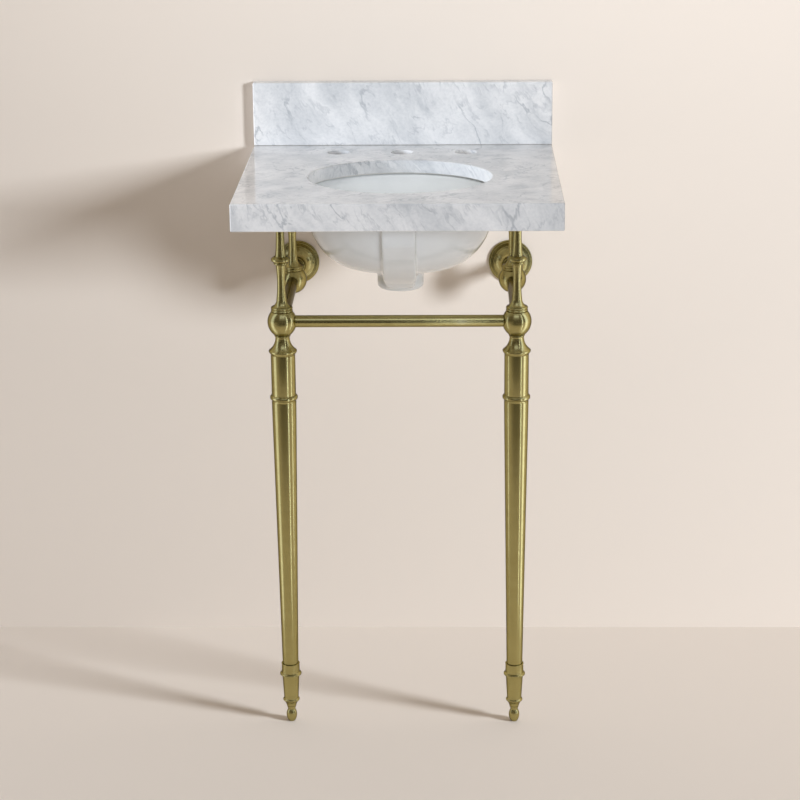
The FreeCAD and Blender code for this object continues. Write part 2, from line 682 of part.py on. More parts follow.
def leg_ring(x, y):
    """Turned ring between the two tubes of a leg, with a spigot into each."""
    edge_top = RING_TOP - LEG_RING_BAND
    edge_bottom = edge_top - LEG_RING_EDGE
    upper_spigot = UPPER_TUBE_RADIUS - LEG_WALL
    lower_spigot = TAPER_TOP_RADIUS - LEG_WALL
    solid = turned(
        [
            (0, RING_TOP + LEG_SPIGOT_LENGTH),
            (upper_spigot, RING_TOP + LEG_SPIGOT_LENGTH),
            (upper_spigot, RING_TOP),
            (UPPER_TUBE_RADIUS, RING_TOP),
            (LEG_RING_RADIUS, edge_top),
            (LEG_RING_RADIUS, edge_bottom),
            (TAPER_TOP_RADIUS, TAPER_TOP, -LEG_RING_EDGE / 4),
            (lower_spigot, TAPER_TOP),
            (lower_spigot, TAPER_TOP - LEG_SPIGOT_LENGTH),
            (0, TAPER_TOP - LEG_SPIGOT_LENGTH),
        ],
        x,
        y,
    )
    return solid.cut(leg_bore(TAPER_TOP - LEG_SPIGOT_LENGTH, RING_TOP + LEG_SPIGOT_LENGTH, x, y))


def tapered_tube(x, y):
    """Long tapered tube with plain bores at its ends for the ring's and the ferrule's spigots."""
    top_bore = TAPER_TOP_RADIUS - LEG_WALL
    bottom_bore = TAPER_BOTTOM_RADIUS - LEG_WALL
    return turned(
        [
            (top_bore, TAPER_TOP),
            (TAPER_TOP_RADIUS, TAPER_TOP),
            (TAPER_BOTTOM_RADIUS, FERRULE_TOP),
            (bottom_bore, FERRULE_TOP),
            (bottom_bore, FERRULE_TOP + LEG_SPIGOT_LENGTH),
            (top_bore, TAPER_TOP - LEG_SPIGOT_LENGTH),
        ],
        x,
        y,
    )


def ferrule(x, y):
    """Turned end of the leg: lip, band, ring, cone and toe, with a spigot up into the tapered tube."""
    lip_bottom = FERRULE_TOP - FERRULE_LIP_HEIGHT
    ring_top = lip_bottom - FERRULE_BAND_HEIGHT
    ring_bottom = ring_top - FERRULE_RING_HEIGHT
    toe_bottom = FOOT_HEIGHT + FERRULE_NOSE_HEIGHT
    toe_top = toe_bottom + FERRULE_TOE_HEIGHT
    spigot_radius = TAPER_BOTTOM_RADIUS - LEG_WALL
    solid = turned(
        [
            (0, FERRULE_TOP + LEG_SPIGOT_LENGTH),
            (spigot_radius, FERRULE_TOP + LEG_SPIGOT_LENGTH),
            (spigot_radius, FERRULE_TOP),
            (FERRULE_LIP_RADIUS, FERRULE_TOP),
            (FERRULE_BAND_RADIUS, lip_bottom),
            (FERRULE_BAND_RADIUS, ring_top),
            (FERRULE_RING_RADIUS, ring_top - FERRULE_RING_HEIGHT / 4),
            (FERRULE_RING_RADIUS, ring_bottom + FERRULE_RING_HEIGHT / 4),
            (FERRULE_CONE_TOP_RADIUS, ring_bottom),
            (FERRULE_CONE_BOTTOM_RADIUS, toe_top),
            (FERRULE_TOE_RADIUS, toe_top - FERRULE_TOE_HEIGHT / 4),
            (FERRULE_TOE_RADIUS, toe_bottom + FERRULE_TOE_HEIGHT / 4),
            (FERRULE_NOSE_RADIUS, FOOT_HEIGHT, FERRULE_NOSE_BOW),
            (0, FOOT_HEIGHT),
        ],
        x,
        y,
    )
    foot_bore_top = FOOT_HEIGHT + FOOT_STUD_LENGTH + FOOT_STUD_END_GAP
    foot_bore = rod(STUD_RADIUS + FOOT_STUD_CLEARANCE, (x, y, FOOT_HEIGHT - 1), (x, y, foot_bore_top))
    tie_bore = rod(
        STUD_RADIUS,
        (x, y, FERRULE_TOP + LEG_SPIGOT_LENGTH - TIE_ROD_ENGAGEMENT),
        (x, y, FERRULE_TOP + LEG_SPIGOT_LENGTH + 1),
    )
    return solid.cut(foot_bore).cut(tie_bore)


def leg_tie_rod(x, y):
    """Threaded rod that draws the neck, tubes, ring and ferrule up against the hub."""
    bottom = FERRULE_TOP + LEG_SPIGOT_LENGTH - TIE_ROD_ENGAGEMENT
    return rod(STUD_RADIUS, (x, y, bottom), (x, y, HUB_BOTTOM + POST_STUD_ENGAGEMENT))


def foot(x, y):
    """Levelling foot: ball and neck in one with the threaded stud that runs up into the ferrule."""
    neck_top = FOOT_HEIGHT - FOOT_GAP
    neck_bow = crown_bow(FOOT_BALL_RADIUS, FOOT_NECK_RADIUS, FOOT_BALL_NECK_LIFT - FOOT_BALL_LIFT)
    pad_bow = crown_bow(FOOT_BALL_RADIUS, FOOT_PAD_RADIUS, FOOT_BALL_LIFT)
    return turned(
        [
            (0, neck_top + FOOT_STUD_LENGTH),
            (STUD_RADIUS, neck_top + FOOT_STUD_LENGTH),
            (STUD_RADIUS, neck_top),
            (FERRULE_NOSE_RADIUS, neck_top),
            (FOOT_NECK_RADIUS, FOOT_BALL_NECK_LIFT),
            (FOOT_BALL_RADIUS, FOOT_BALL_LIFT, neck_bow),
            (FOOT_PAD_RADIUS, 0, pad_bow),
            (0, 0),
        ],
        x,
        y,
    )


# Wall brackets

def wall_turned(points, x):
    """Solid turned about the horizontal line through a rear hub, from (radius, distance off the wall) points."""
    solid = turned(points)
    solid.rotate(FreeCAD.Vector(0, 0, 0), FreeCAD.Vector(1, 0, 0), 90)
    solid.translate(FreeCAD.Vector(x, WALL_Y, RAIL_HEIGHT))
    return solid


def wall_plate(x):
    """Disc screwed to the wall, with a hole for the spigot's tail and one above and below for screws."""
    plate = rod(WALL_PLATE_RADIUS, (x, WALL_Y - WALL_PLATE_THICKNESS, RAIL_HEIGHT), (x, WALL_Y, RAIL_HEIGHT))
    holes = [(0, SPIGOT_TAIL_RADIUS)]
    holes += [(WALL_SCREW_SPACING / 2, WALL_SCREW_RADIUS), (-WALL_SCREW_SPACING / 2, WALL_SCREW_RADIUS)]
    for up, radius in holes:
        z = RAIL_HEIGHT + up
        plate = plate.cut(rod(radius, (x, WALL_Y - WALL_PLATE_THICKNESS - 1, z), (x, WALL_Y + 1, z)))
    return plate


def wall_spigot(x):
    """Solid arm from the wall plate to the rear hub, with a tail in the plate and a nose in the hub."""
    shoulder = REAR_POST_SETBACK - RAIL_INSET
    nose = REAR_POST_SETBACK - HUB_CORE
    return wall_turned(
        [
            (0, 0),
            (SPIGOT_TAIL_RADIUS, 0),
            (SPIGOT_TAIL_RADIUS, WALL_PLATE_THICKNESS),
            (SPIGOT_RADIUS, WALL_PLATE_THICKNESS),
            (SPIGOT_RADIUS, shoulder),
            (RAIL_BORE_RADIUS, shoulder),
            (RAIL_BORE_RADIUS, nose),
            (0, nose),
        ],
        x,
    )


def rosette(x):
    """Turned cover over the wall plate, stepped at the rim and drawn in to a neck round the spigot."""
    step = ROSETTE_RIM_HEIGHT + ROSETTE_STEP_HEIGHT
    face = step + ROSETTE_FACE_HEIGHT
    neck = ROSETTE_DEPTH - ROSETTE_NECK_HEIGHT
    bore = SPIGOT_RADIUS + ROSETTE_CLEARANCE
    hollow_radius = ROSETTE_FACE_RADIUS - ROSETTE_WALL
    hollow_depth = max(face - ROSETTE_WALL, WALL_PLATE_THICKNESS + 1)
    return wall_turned(
        [
            (hollow_radius, 0),
            (ROSETTE_RADIUS, 0),
            (ROSETTE_RADIUS, ROSETTE_RIM_HEIGHT),
            (ROSETTE_STEP_RADIUS, ROSETTE_RIM_HEIGHT),
            (ROSETTE_STEP_RADIUS, step),
            (ROSETTE_FACE_RADIUS, step),
            (ROSETTE_FACE_RADIUS, face),
            (ROSETTE_NECK_RADIUS, neck, ROSETTE_BOW),
            (ROSETTE_NECK_RADIUS, ROSETTE_DEPTH),
            (bore, ROSETTE_DEPTH),
            (bore, hollow_depth),
            (hollow_radius, hollow_depth),
        ],
        x,
    )


def main():
    os.makedirs("parts", exist_ok=True)
    all_posts = FRONT_POSTS + REAR_POSTS
    front_foot = (HUB_BOTTOM_RADIUS, HUB_DROP)
    rear_foot = (REAR_HUB_BUTTON_RADIUS, REAR_HUB_DROP)
    centres = {
        (side, row): (side * POST_X, y, RAIL_HEIGHT)
        for side in (-1, 1)
        for row, y in (("front", FRONT_POST_Y), ("rear", REAR_POST_Y))
    }
    rail_ends = [
        (centres[-1, "front"], centres[1, "front"]),
        (centres[-1, "front"], centres[-1, "rear"]),
        (centres[1, "front"], centres[1, "rear"]),
    ]
    places = clip_places()
    pieces = {
        "countertop_slab": [countertop_slab()],
        "edge_strip_front": [edge_strip_front()],
        "edge_strip_left": [edge_strip_side(-1)],
        "edge_strip_right": [edge_strip_side(1)],
        "backsplash_bed": [backsplash_bed()],
        "backsplash": [backsplash()],
        "basin": [basin()],
        "basin_seal": [basin_seal()],
        "basin_clips": [basin_clip(p) for p in places],
        "basin_clip_studs": [basin_clip_stud(p) for p in places],
        "basin_clip_nuts": [basin_clip_nut(p) for p in places],
        "front_hubs": [hub(x, y, front_foot, True) for x, y in FRONT_POSTS],
        "rear_hubs": [hub(x, y, rear_foot, False) for x, y in REAR_POSTS],
        "front_posts": [post(x, y) for x, y in FRONT_POSTS],
        "rear_posts": [post(x, y) for x, y in REAR_POSTS],
        "post_studs": [post_stud(x, y) for x, y in all_posts],
        "post_flanges": [post_flange(x, y) for x, y in all_posts],
        "flange_pads": [flange_pad(x, y) for x, y in all_posts],
        "front_rail": [rail(*rail_ends[0])],
        "side_rail_left": [rail(*rail_ends[1])],
        "side_rail_right": [rail(*rail_ends[2])],
        "rail_plugs": [rail_plug(a, b) for a, b in rail_ends] + [rail_plug(b, a) for a, b in rail_ends],
        "leg_necks": [leg_neck(x, y) for x, y in FRONT_POSTS],
        "leg_rings": [leg_ring(x, y) for x, y in FRONT_POSTS],
        "ferrules": [ferrule(x, y) for x, y in FRONT_POSTS],
        "leg_tie_rods": [leg_tie_rod(x, y) for x, y in FRONT_POSTS],
        "wall_plates": [wall_plate(x) for x, _ in REAR_POSTS],
        "rosettes": [rosette(x) for x, _ in REAR_POSTS],
    }
    for side, (x, y) in zip(("left", "right"), FRONT_POSTS):
        pieces[f"upper_tube_{side}"] = [upper_tube(x, y)]
        pieces[f"tapered_tube_{side}"] = [tapered_tube(x, y)]
        pieces[f"foot_{side}"] = [foot(x, y)]
        pieces[f"wall_spigot_{side}"] = [wall_spigot(x)]
    for name, solids in pieces.items():
        shape = solids[0] if len(solids) == 1 else Part.makeCompound(solids)
        shape.exportStep(f"parts/{name}.step")


main()
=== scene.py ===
"""Looks of a marble console sink on turned brass legs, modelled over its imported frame.

Metres, +Z up, the front faces -Y, and the wall stands behind the top's rear edge.
"""

import json
import math
from collections import namedtuple
from functools import partial

import bmesh
import bpy
from mathutils import Matrix, Vector

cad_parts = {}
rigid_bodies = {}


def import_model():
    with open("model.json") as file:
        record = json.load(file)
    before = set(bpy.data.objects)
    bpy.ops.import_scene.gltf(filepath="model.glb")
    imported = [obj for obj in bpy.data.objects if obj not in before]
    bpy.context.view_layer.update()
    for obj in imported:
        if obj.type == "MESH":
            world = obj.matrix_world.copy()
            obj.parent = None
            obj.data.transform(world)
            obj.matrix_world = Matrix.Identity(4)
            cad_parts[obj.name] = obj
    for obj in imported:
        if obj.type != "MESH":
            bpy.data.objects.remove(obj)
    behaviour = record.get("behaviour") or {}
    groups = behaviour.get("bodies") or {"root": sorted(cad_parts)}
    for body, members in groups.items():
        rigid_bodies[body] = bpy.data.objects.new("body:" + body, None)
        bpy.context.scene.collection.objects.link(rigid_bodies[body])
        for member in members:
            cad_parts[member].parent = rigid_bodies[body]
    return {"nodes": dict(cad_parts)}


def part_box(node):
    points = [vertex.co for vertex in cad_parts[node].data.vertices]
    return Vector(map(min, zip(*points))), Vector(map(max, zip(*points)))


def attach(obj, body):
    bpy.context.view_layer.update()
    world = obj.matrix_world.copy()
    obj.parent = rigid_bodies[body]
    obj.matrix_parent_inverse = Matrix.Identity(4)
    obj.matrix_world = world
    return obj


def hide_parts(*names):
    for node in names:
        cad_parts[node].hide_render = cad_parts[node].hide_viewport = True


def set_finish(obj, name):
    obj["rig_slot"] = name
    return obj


bl_info = {
    "name": "Console Sink Looks",
    "version": (1, 0, 0),
    "blender": (4, 5, 0),
    "location": "3D View > Sidebar > Console Sink",
    "description": "Marble top, glazed basin and turned satin brass frame of a console sink",
    "category": "Object",
}

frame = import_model()

MM = 0.001
SIDES = (("left", -1), ("right", 1))
SMOOTH_ANGLE = math.radians(38)
MERGE_DISTANCE = 0.01 * MM
CAD_MERGE_DISTANCE = MERGE_DISTANCE / 4
SAME_PLACE = 0.05 * MM
CUTTER_OVERSHOOT = 2 * MM
ROUNDING_STEPS = 4
EASE_SHARE = 0.45  # the most that one eased corner takes of a stretch between two stops
FOOT_GAP = 0.3 * MM  # between ferrule and foot at rest
ARM_GAP = 0.2 * MM  # by which an arm stops short of its solid's end
RAIL_WALL = 1.5 * MM
NECK_BEAD_DEPTH = 0.8 * MM
NECK_HOLLOW = 0.4 * MM


# Places that the frame gives

def low(node):
    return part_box(node)[0]


def high(node):
    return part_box(node)[1]


FOOT_RIGHT = (low("foot_right") + high("foot_right")) / 2
POST_X = FOOT_RIGHT.x
FRONT_Y = FOOT_RIGHT.y
REAR_Y = (low("rear_posts").y + high("rear_posts").y) / 2
WALL_Y = high("backsplash").y
TOP_Z = high("countertop_slab").z
SLAB_BOTTOM = low("countertop_slab").z
FLANGE_BOTTOM = high("front_posts").z
HUB_TOP = low("front_posts").z
RAIL_Z = (low("front_rail").z + high("front_rail").z) / 2
HUB_BOTTOM = high("leg_necks").z
TUBE_TOP = high("upper_tube_left").z
RING_TOP = low("upper_tube_left").z
TAPER_TOP = high("tapered_tube_left").z
FERRULE_TOP = low("tapered_tube_left").z
FERRULE_BOTTOM = low("ferrules").z
FOOT_NECK_TOP = FERRULE_BOTTOM - FOOT_GAP
ROSETTE_FRONT = low("rosettes").y


# Properties

def length(name, millimetres, description):
    return bpy.props.FloatProperty(
        name=name,
        description=description,
        default=millimetres * MM,
        min=0.0,
        unit="LENGTH",
        subtype="DISTANCE",
        precision=5,
    )


def linear(hex_colour):
    """Linear RGB of an sRGB hex colour."""
    channels = [int(hex_colour[i : i + 2], 16) / 255 for i in (1, 3, 5)]
    return tuple(c / 12.92 if c <= 0.04045 else ((c + 0.055) / 1.055) ** 2.4 for c in channels)


def colour(name, hex_colour, description):
    return bpy.props.FloatVectorProperty(
        name=name,
        description=description,
        default=linear(hex_colour),
        size=3,
        min=0.0,
        max=1.0,
        subtype="COLOR",
    )


class TopSizes(bpy.types.PropertyGroup):
    arris: length("Arris", 2, "Rounding of the stone's outer edges")
    rim_arris: length("Cut-out arris", 1.5, "Rounding of the oval cut-out's top edge")
    hole_arris: length("Hole arris", 0.8, "Rounding of the faucet holes' top edges")
    wipe: length("Sealant wipe", 0.05, "How far the sealant under the backsplash stands back")
    cutout_width: length("Cut-out width", 280, "Width of the oval cut-out")
    cutout_depth: length("Cut-out depth", 242, "Depth of the oval cut-out, front to back")
    basin_y: length("Basin setback", 260.5, "Middle of the cut-out, in front of the wall")
    hole_radius: length("Faucet hole radius", 17.5, "Radius of each faucet hole")
    hole_spread: length("Faucet spread", 203.2, "Distance between the outer faucet holes")
    hole_setback: length("Faucet setback", 76, "Faucet holes, in front of the wall")


class BasinSizes(bpy.types.PropertyGroup):
    grain: length("Remesh size", 2.05, "Voxel size of the basin's rounded mesh")
    softening: bpy.props.IntProperty(
        name="Softening",
        description="Smoothing passes that round the casting's edges and hollows",
        default=14,
        min=0,
    )


class TurningSizes(bpy.types.PropertyGroup):
    sides: bpy.props.IntProperty(
        name="Sides", description="Facets round each turned piece", default=96, min=24
    )
    ease: length("Edge ease", 0.5, "Rounding of turned edges after polishing")
    hub: length("Hub", 22, "Radius of a hub at its widest")
    hub_top: length("Hub top", 16, "Radius of a hub under the post's collar")
    hub_foot: length("Hub foot", 11.6, "Radius of a front hub over the leg's neck")
    hub_button: length("Rear hub button", 5, "Radius of the flat under a rear hub")
    rail: length("Rail", 9, "Radius of a rail")
    collar: length("Post collar", 16.8, "Radius of the two beads at a post's foot")
    collar_groove: length("Collar groove", 15.2, "Radius of the groove between the beads")
    bead: length("Collar bead", 3.8, "Height of one bead")
    throat: length("Post throat", 13.4, "Radius of the post over its collar")
    throat_rise: length("Throat rise", 12, "Height over which the throat draws in")
    throat_hollow: length("Throat hollow", 1.6, "How far the throat is hollowed")
    shaft: length("Post shaft", 7.6, "Radius of the post's lower shaft at its ends")
    waist: length("Shaft waist", 1.6, "How far the lower shaft draws in")
    ring: length("Post ring", 14.5, "Radius of the ring round a post")
    ring_height: length("Ring height", 9, "Height of the ring round a post")
    ring_lift: length("Ring lift", 75.5, "Underside of the ring over the hub")
    ring_neck: length("Ring neck", 10.2, "Radius of the post at the ring's edges")
    ring_bead: length("Ring bead", 10.8, "Radius of the small bead under the ring")
    ring_bead_height: length("Ring bead height", 4, "Height of that bead")
    upper: length("Upper shaft", 8.2, "Radius of the post over its ring")
    upper_top: length("Upper shaft top", 9, "Radius of the post under the stone")
    upper_waist: length("Upper waist", 2.4, "How far the upper shaft draws in")
    flange: length("Post flange", 18, "Radius of the disc under the stone")


class LegSizes(bpy.types.PropertyGroup):
    neck_bead: length("Neck bead", 12.4, "Radius of the bead under the hub")
    neck_bead_height: length("Neck bead height", 2, "Height of that bead")
    neck_waist: length("Neck waist", 10.9, "Radius of the neck's narrowest place")
    neck_waist_drop: length("Waist drop", 5.5, "Narrowest place below the hub")
    lip: length("Neck lip", 21.2, "Radius of the lip over the upper tube")
    lip_height: length("Lip height", 2, "Height of the lip")
    lip_lift: length("Lip lift", 4.3, "Lip's underside over the tube")
    flare: length("Flare", 2.4, "How far the neck's flare is hollowed")
    tube: length("Upper tube", 18.4, "Radius of the upper tube")
    wall: length("Tube wall", 1.6, "Wall of the leg's tubes")
    ring: length("Leg ring", 21, "Radius of the ring between the tubes")
    ring_band: length("Ring band", 2.2, "Slope over the ring")
    ring_edge: length("Ring edge", 3.4, "Height of the ring's edge")
    taper_top: length("Taper top", 18.6, "Radius of the tapered tube at its top")
    taper_bottom: length("Taper bottom", 12.4, "Radius of the tapered tube at its foot")
    ferrule_lip: length("Ferrule lip", 14.4, "Radius of the ferrule's top lip")
    ferrule_lip_height: length("Ferrule lip height", 2.4, "Height of that lip")
    band: length("Ferrule band", 14, "Radius of the band under the lip")
    band_height: length("Band height", 13, "Height of that band")
    ferrule_ring: length("Ferrule ring", 16.8, "Radius of the ferrule's ring")
    ferrule_ring_height: length("Ferrule ring height", 5, "Height of that ring")
    cone_top: length("Cone top", 13.4, "Radius of the cone under the ring")
    cone_bottom: length("Cone bottom", 11.2, "Radius of the cone at the toe")
    toe: length("Toe", 13, "Radius of the ferrule's lower ring")
    toe_height: length("Toe height", 4.2, "Height of that ring")
    nose: length("Nose", 7.4, "Radius of the ferrule's end")
    nose_height: length("Nose height", 9, "Height of the hollow end")
    nose_flare: length("Nose hollow", 0.9, "How far the end is hollowed")
    foot_neck: length("Foot neck", 5.5, "Radius of the levelling foot's neck")
    ball: length("Foot ball", 8.3, "Radius of the foot's ball")
    ball_lift: length("Ball lift", 11, "Height of the ball's widest place")
    ball_neck: length("Ball neck", 20, "Height of the neck over the ball")
    pad: length("Foot pad", 5, "Radius of the flat that rests on the floor")
    stud: length("Stud", 4, "Radius of the foot's stud")


class WallSizes(bpy.types.PropertyGroup):
    rim: length("Rosette rim", 35.8, "Radius of the rosette")
    rim_height: length("Rim height", 4.5, "Height of the rim off the wall")
    step: length("Rosette step", 33.4, "Radius of the step")
    step_height: length("Step height", 2.5, "Height of the step")
    face: length("Rosette face", 28, "Radius of the raised face")
    face_height: length("Face height", 2, "Height of the raised face")
    neck: length("Rosette neck", 13, "Radius of the neck round the arm")
    neck_height: length("Neck height", 5, "Length of that neck")
    dish: length("Dish", 4.5, "How far the rosette's face is dished")
    arm: length("Arm", 10.5, "Radius of the arm from the wall to the rear hub")


class Finishes(bpy.types.PropertyGroup):
    marble: colour("Marble", "#F1F2F3", "Ground of the marble")
    marble_cloud: colour("Marble cloud", "#C5C9CD", "Soft grey smears in the marble")
    marble_vein: colour("Marble vein", "#A0A6AD", "Thin veins in the marble")
    glaze: colour("Glaze", "#E6EAEC", "Glazed vitreous china")
    brass: colour("Brass", "#B8AD70", "Satin brass")
    brass_deep: colour("Deep brass", "#A09257", "Brass where the polish is older")
    # painted shade: a near-black tint on the brass's edge-on reflections, standing in for dark
    # surroundings mirrored at its silhouettes
    brass_painted_dark_edge: colour("Brass edge", "#45402C", "Tint of the brass where it is seen edge on")
    steel: colour("Steel", "#B9B8B2", "Zinc plated steel")
    silicone: colour("Silicone", "#D9D8D3", "Clear silicone")
    wall: colour("Wall", "#EADFD4", "Plain wall and floor")


GROUPS = (
    ("console_top", TopSizes),
    ("console_basin", BasinSizes),
    ("console_turning", TurningSizes),
    ("console_leg", LegSizes),
    ("console_wall", WallSizes),
    ("console_finish", Finishes),
)


# Materials

COORDINATES = "ShaderNodeTexCoord"
MAPPING = "ShaderNodeMapping"
NOISE = "ShaderNodeTexNoise"
RANGE = "ShaderNodeMapRange"
MATHS = "ShaderNodeMath"
VECTOR_MATHS = "ShaderNodeVectorMath"
BUMP = "ShaderNodeBump"
PRINCIPLED = "ShaderNodeBsdfPrincipled"
OUTPUT = "ShaderNodeOutputMaterial"
MIX = "ShaderNodeMix"
FACTOR, FIRST, SECOND = 0, 6, 7
BLEND = {"output": 2, "data_type": "RGBA"}
# a range node takes its value at 0, from the span at 1 and 2 to the span at 3 and 4
SMOOTH = {"interpolation_type": "SMOOTHSTEP"}


def add_node(tree, kind, links=None, output=0, **settings):
    """Add a node with its settings, fill its inputs with values or outputs, and give its output."""
    node = tree.nodes.new(kind)
    for name, value in settings.items():
        setattr(node, name, value)
    for socket, value in (links or {}).items():
        if isinstance(value, bpy.types.NodeSocket):
            tree.links.new(value, node.inputs[socket])
        else:
            node.inputs[socket].default_value = value
    return node.outputs[output] if len(node.outputs) else None


def new_material(name):
    """An empty material and its tree."""
    material = bpy.data.materials.new(name)
    material.use_nodes = True
    material.node_tree.nodes.clear()
    return material, material.node_tree


def opaque(rgb, strength=1.0):
    return (rgb[0] * strength, rgb[1] * strength, rgb[2] * strength, 1.0)


def polished_marble(tree, place, colours):
    """Sawn and polished marble: white calcite with grey smears that run the way the bed lay."""
    # a slow warp, 110 mm from crest to crest and 10 mm deep, bends the smears
    warp = add_node(tree, NOISE, {"Vector": place, "Scale": 9, "Detail": 2}, output="Color")
    centred = add_node(tree, VECTOR_MATHS, {0: warp, 1: (0.5, 0.5, 0.5)}, operation="SUBTRACT")
    push = add_node(tree, VECTOR_MATHS, {0: centred, "Scale": 0.04}, operation="SCALE")
    flow = add_node(tree, VECTOR_MATHS, {0: place, 1: push}, operation="ADD")
    # the bed dips to the right and to the front, and a smear is 17 mm wide and five times as long
    bed = {"Vector": flow, "Rotation": (0.0, 0.98, -0.74), "Scale": (5.0, 1.5, 1.0)}
    along = add_node(tree, MAPPING, bed, vector_type="TEXTURE")
    cloud = add_node(tree, NOISE, {"Vector": along, "Scale": 26, "Detail": 3, "Roughness": 0.5})
    cloud = add_node(tree, RANGE, {0: cloud, 1: 0.38, 2: 0.66, 3: 0, 4: 0.5}, **SMOOTH)
    smear = add_node(tree, NOISE, {"Vector": along, "Scale": 60, "Detail": 4, "Roughness": 0.55})
    smear = add_node(tree, RANGE, {0: smear, 1: 0.46, 2: 0.74, 3: 0, 4: 0.5}, **SMOOTH)
    patch = add_node(tree, NOISE, {"Vector": flow, "Scale": 16, "Detail": 2})
    patch = add_node(tree, RANGE, {0: patch, 1: 0.38, 2: 0.66, 3: 0.25, 4: 1}, **SMOOTH)
    smear = add_node(tree, MATHS, {0: smear, 1: patch}, operation="MULTIPLY")
    # crystals of 4 to 6 mm across, which give the sawn face its fine mottle
    mottle = add_node(tree, NOISE, {"Vector": flow, "Scale": 210, "Detail": 3, "Roughness": 0.6})
    mottle = add_node(tree, RANGE, {0: mottle, 1: 0.38, 2: 0.70, 3: 0, 4: 0.24})
    grey = add_node(tree, MATHS, {0: cloud, 1: smear}, operation="ADD")
    grey = add_node(tree, MATHS, {0: grey, 1: mottle}, operation="ADD", use_clamp=True)
    shades = {FACTOR: grey, FIRST: opaque(colours.marble), SECOND: opaque(colours.marble_cloud)}
    ground = add_node(tree, MIX, shades, **BLEND)
    # thin veins where a noise crosses its middle value, broken up so that each is 10 to 60 mm long
    vein = 0.0
    for scale, width, depth in ((20.0, 0.022, 0.6), (50.0, 0.035, 0.32)):
        shape = {"Vector": along, "Scale": scale, "Detail": 5, "Roughness": 0.55}
        field = add_node(tree, NOISE, shape)
        field = add_node(tree, MATHS, {0: field, 1: 0.5}, operation="SUBTRACT")
        field = add_node(tree, MATHS, {0: field}, operation="ABSOLUTE")
        line = add_node(tree, RANGE, {0: field, 1: 0, 2: width, 3: 1, 4: 0}, **SMOOTH)
        broken = add_node(tree, NOISE, {"Vector": flow, "Scale": scale, "Detail": 2})
        broken = add_node(tree, RANGE, {0: broken, 1: 0.40, 2: 0.64, 3: 0, 4: depth}, **SMOOTH)
        line = add_node(tree, MATHS, {0: line, 1: broken}, operation="MULTIPLY")
        vein = add_node(tree, MATHS, {0: vein, 1: line}, operation="MAXIMUM")
    lines = {FACTOR: vein, FIRST: ground, SECOND: opaque(colours.marble_vein)}
    veined = add_node(tree, MIX, lines, **BLEND)
    # at a millimetre, the crystals only break the polish up a little
    crystals = add_node(tree, NOISE, {"Vector": place, "Scale": 900, "Detail": 2})
    polish = add_node(tree, RANGE, {0: crystals, 1: 0.3, 2: 0.7, 3: 0.06, 4: 0.12})
    return {
        "Base Color": veined,
        "Roughness": polish,
        "IOR": 1.5,
        "Subsurface Weight": 0.08,
        "Subsurface Radius": (0.004, 0.004, 0.004),
    }


def glazed_china(tree, place, colours):
    """Slip-cast china under a clear glaze: even white, glossy, with a faint ripple of the slip."""
    pooled = add_node(tree, NOISE, {"Vector": place, "Scale": 22, "Detail": 3})
    pooled = add_node(tree, RANGE, {0: pooled, 1: 0.3, 2: 0.7}, **SMOOTH)
    shades = {FACTOR: pooled, FIRST: opaque(colours.glaze), SECOND: opaque(colours.glaze, 0.95)}
    glaze = add_node(tree, MIX, shades, **BLEND)
    # the slip's ripple is about 30 mm from crest to crest
    ripple = add_node(tree, NOISE, {"Vector": place, "Scale": 35, "Detail": 2})
    gloss = add_node(tree, NOISE, {"Vector": place, "Scale": 60, "Detail": 2})
    gloss = add_node(tree, RANGE, {0: gloss, 1: 0.3, 2: 0.7, 3: 0.08, 4: 0.14})
    bump = add_node(tree, BUMP, {"Height": ripple, "Distance": 0.0004, "Strength": 0.25})
    return {
        "Base Color": glaze,
        "Roughness": gloss,
        "IOR": 1.5,
        "Coat Weight": 0.4,
        "Coat Roughness": 0.04,
        "Normal": bump,
    }


def satin_brass(tree, place, colours, axis):
    """Lacquered brass, brushed round the turning, so that what it mirrors runs along the axis."""
    # real brush lines are 0.1 mm apart, and these 1 to 2 mm so that they show
    fine, broad = 700.0, 6.0
    scale = [fine if letter == axis else broad for letter in "XYZ"]
    brushed = add_node(tree, MAPPING, {"Vector": place, "Scale": scale})
    lines = add_node(tree, NOISE, {"Vector": brushed, "Scale": 1, "Detail": 4, "Roughness": 0.6})
    # hands and cloths leave patches of 20 to 30 mm
    handled = add_node(tree, NOISE, {"Vector": place, "Scale": 45, "Detail": 4, "Roughness": 0.6})
    handled = add_node(tree, RANGE, {0: handled, 1: 0.35, 2: 0.7, 3: 0, 4: 0.35})
    worn = add_node(tree, RANGE, {0: lines, 1: 0.3, 2: 0.7, 3: 0, 4: 0.35})
    worn = add_node(tree, MATHS, {0: worn, 1: handled}, operation="ADD")
    shades = {FACTOR: worn, FIRST: opaque(colours.brass), SECOND: opaque(colours.brass_deep)}
    metal = add_node(tree, MIX, shades, **BLEND)
    return {
        "Base Color": metal,
        "Metallic": 1,
        "Roughness": add_node(tree, RANGE, {0: lines, 1: 0.3, 2: 0.7, 3: 0.22, 4: 0.27}),
        "Anisotropic": 0.75,
        "Anisotropic Rotation": 0.25,
        # painted shade: this dark edge tint darkens the brass where it is seen edge on, in place of
        # dark surroundings that it would mirror
        "Specular Tint": opaque(colours.brass_painted_dark_edge),
        "Tangent": add_node(tree, "ShaderNodeTangent", direction_type="RADIAL", axis=axis),
        "Coat Weight": 0.3,
        "Coat Roughness": 0.10,
        "Normal": add_node(tree, BUMP, {"Height": lines, "Distance": 0.00002, "Strength": 0.15}),
    }


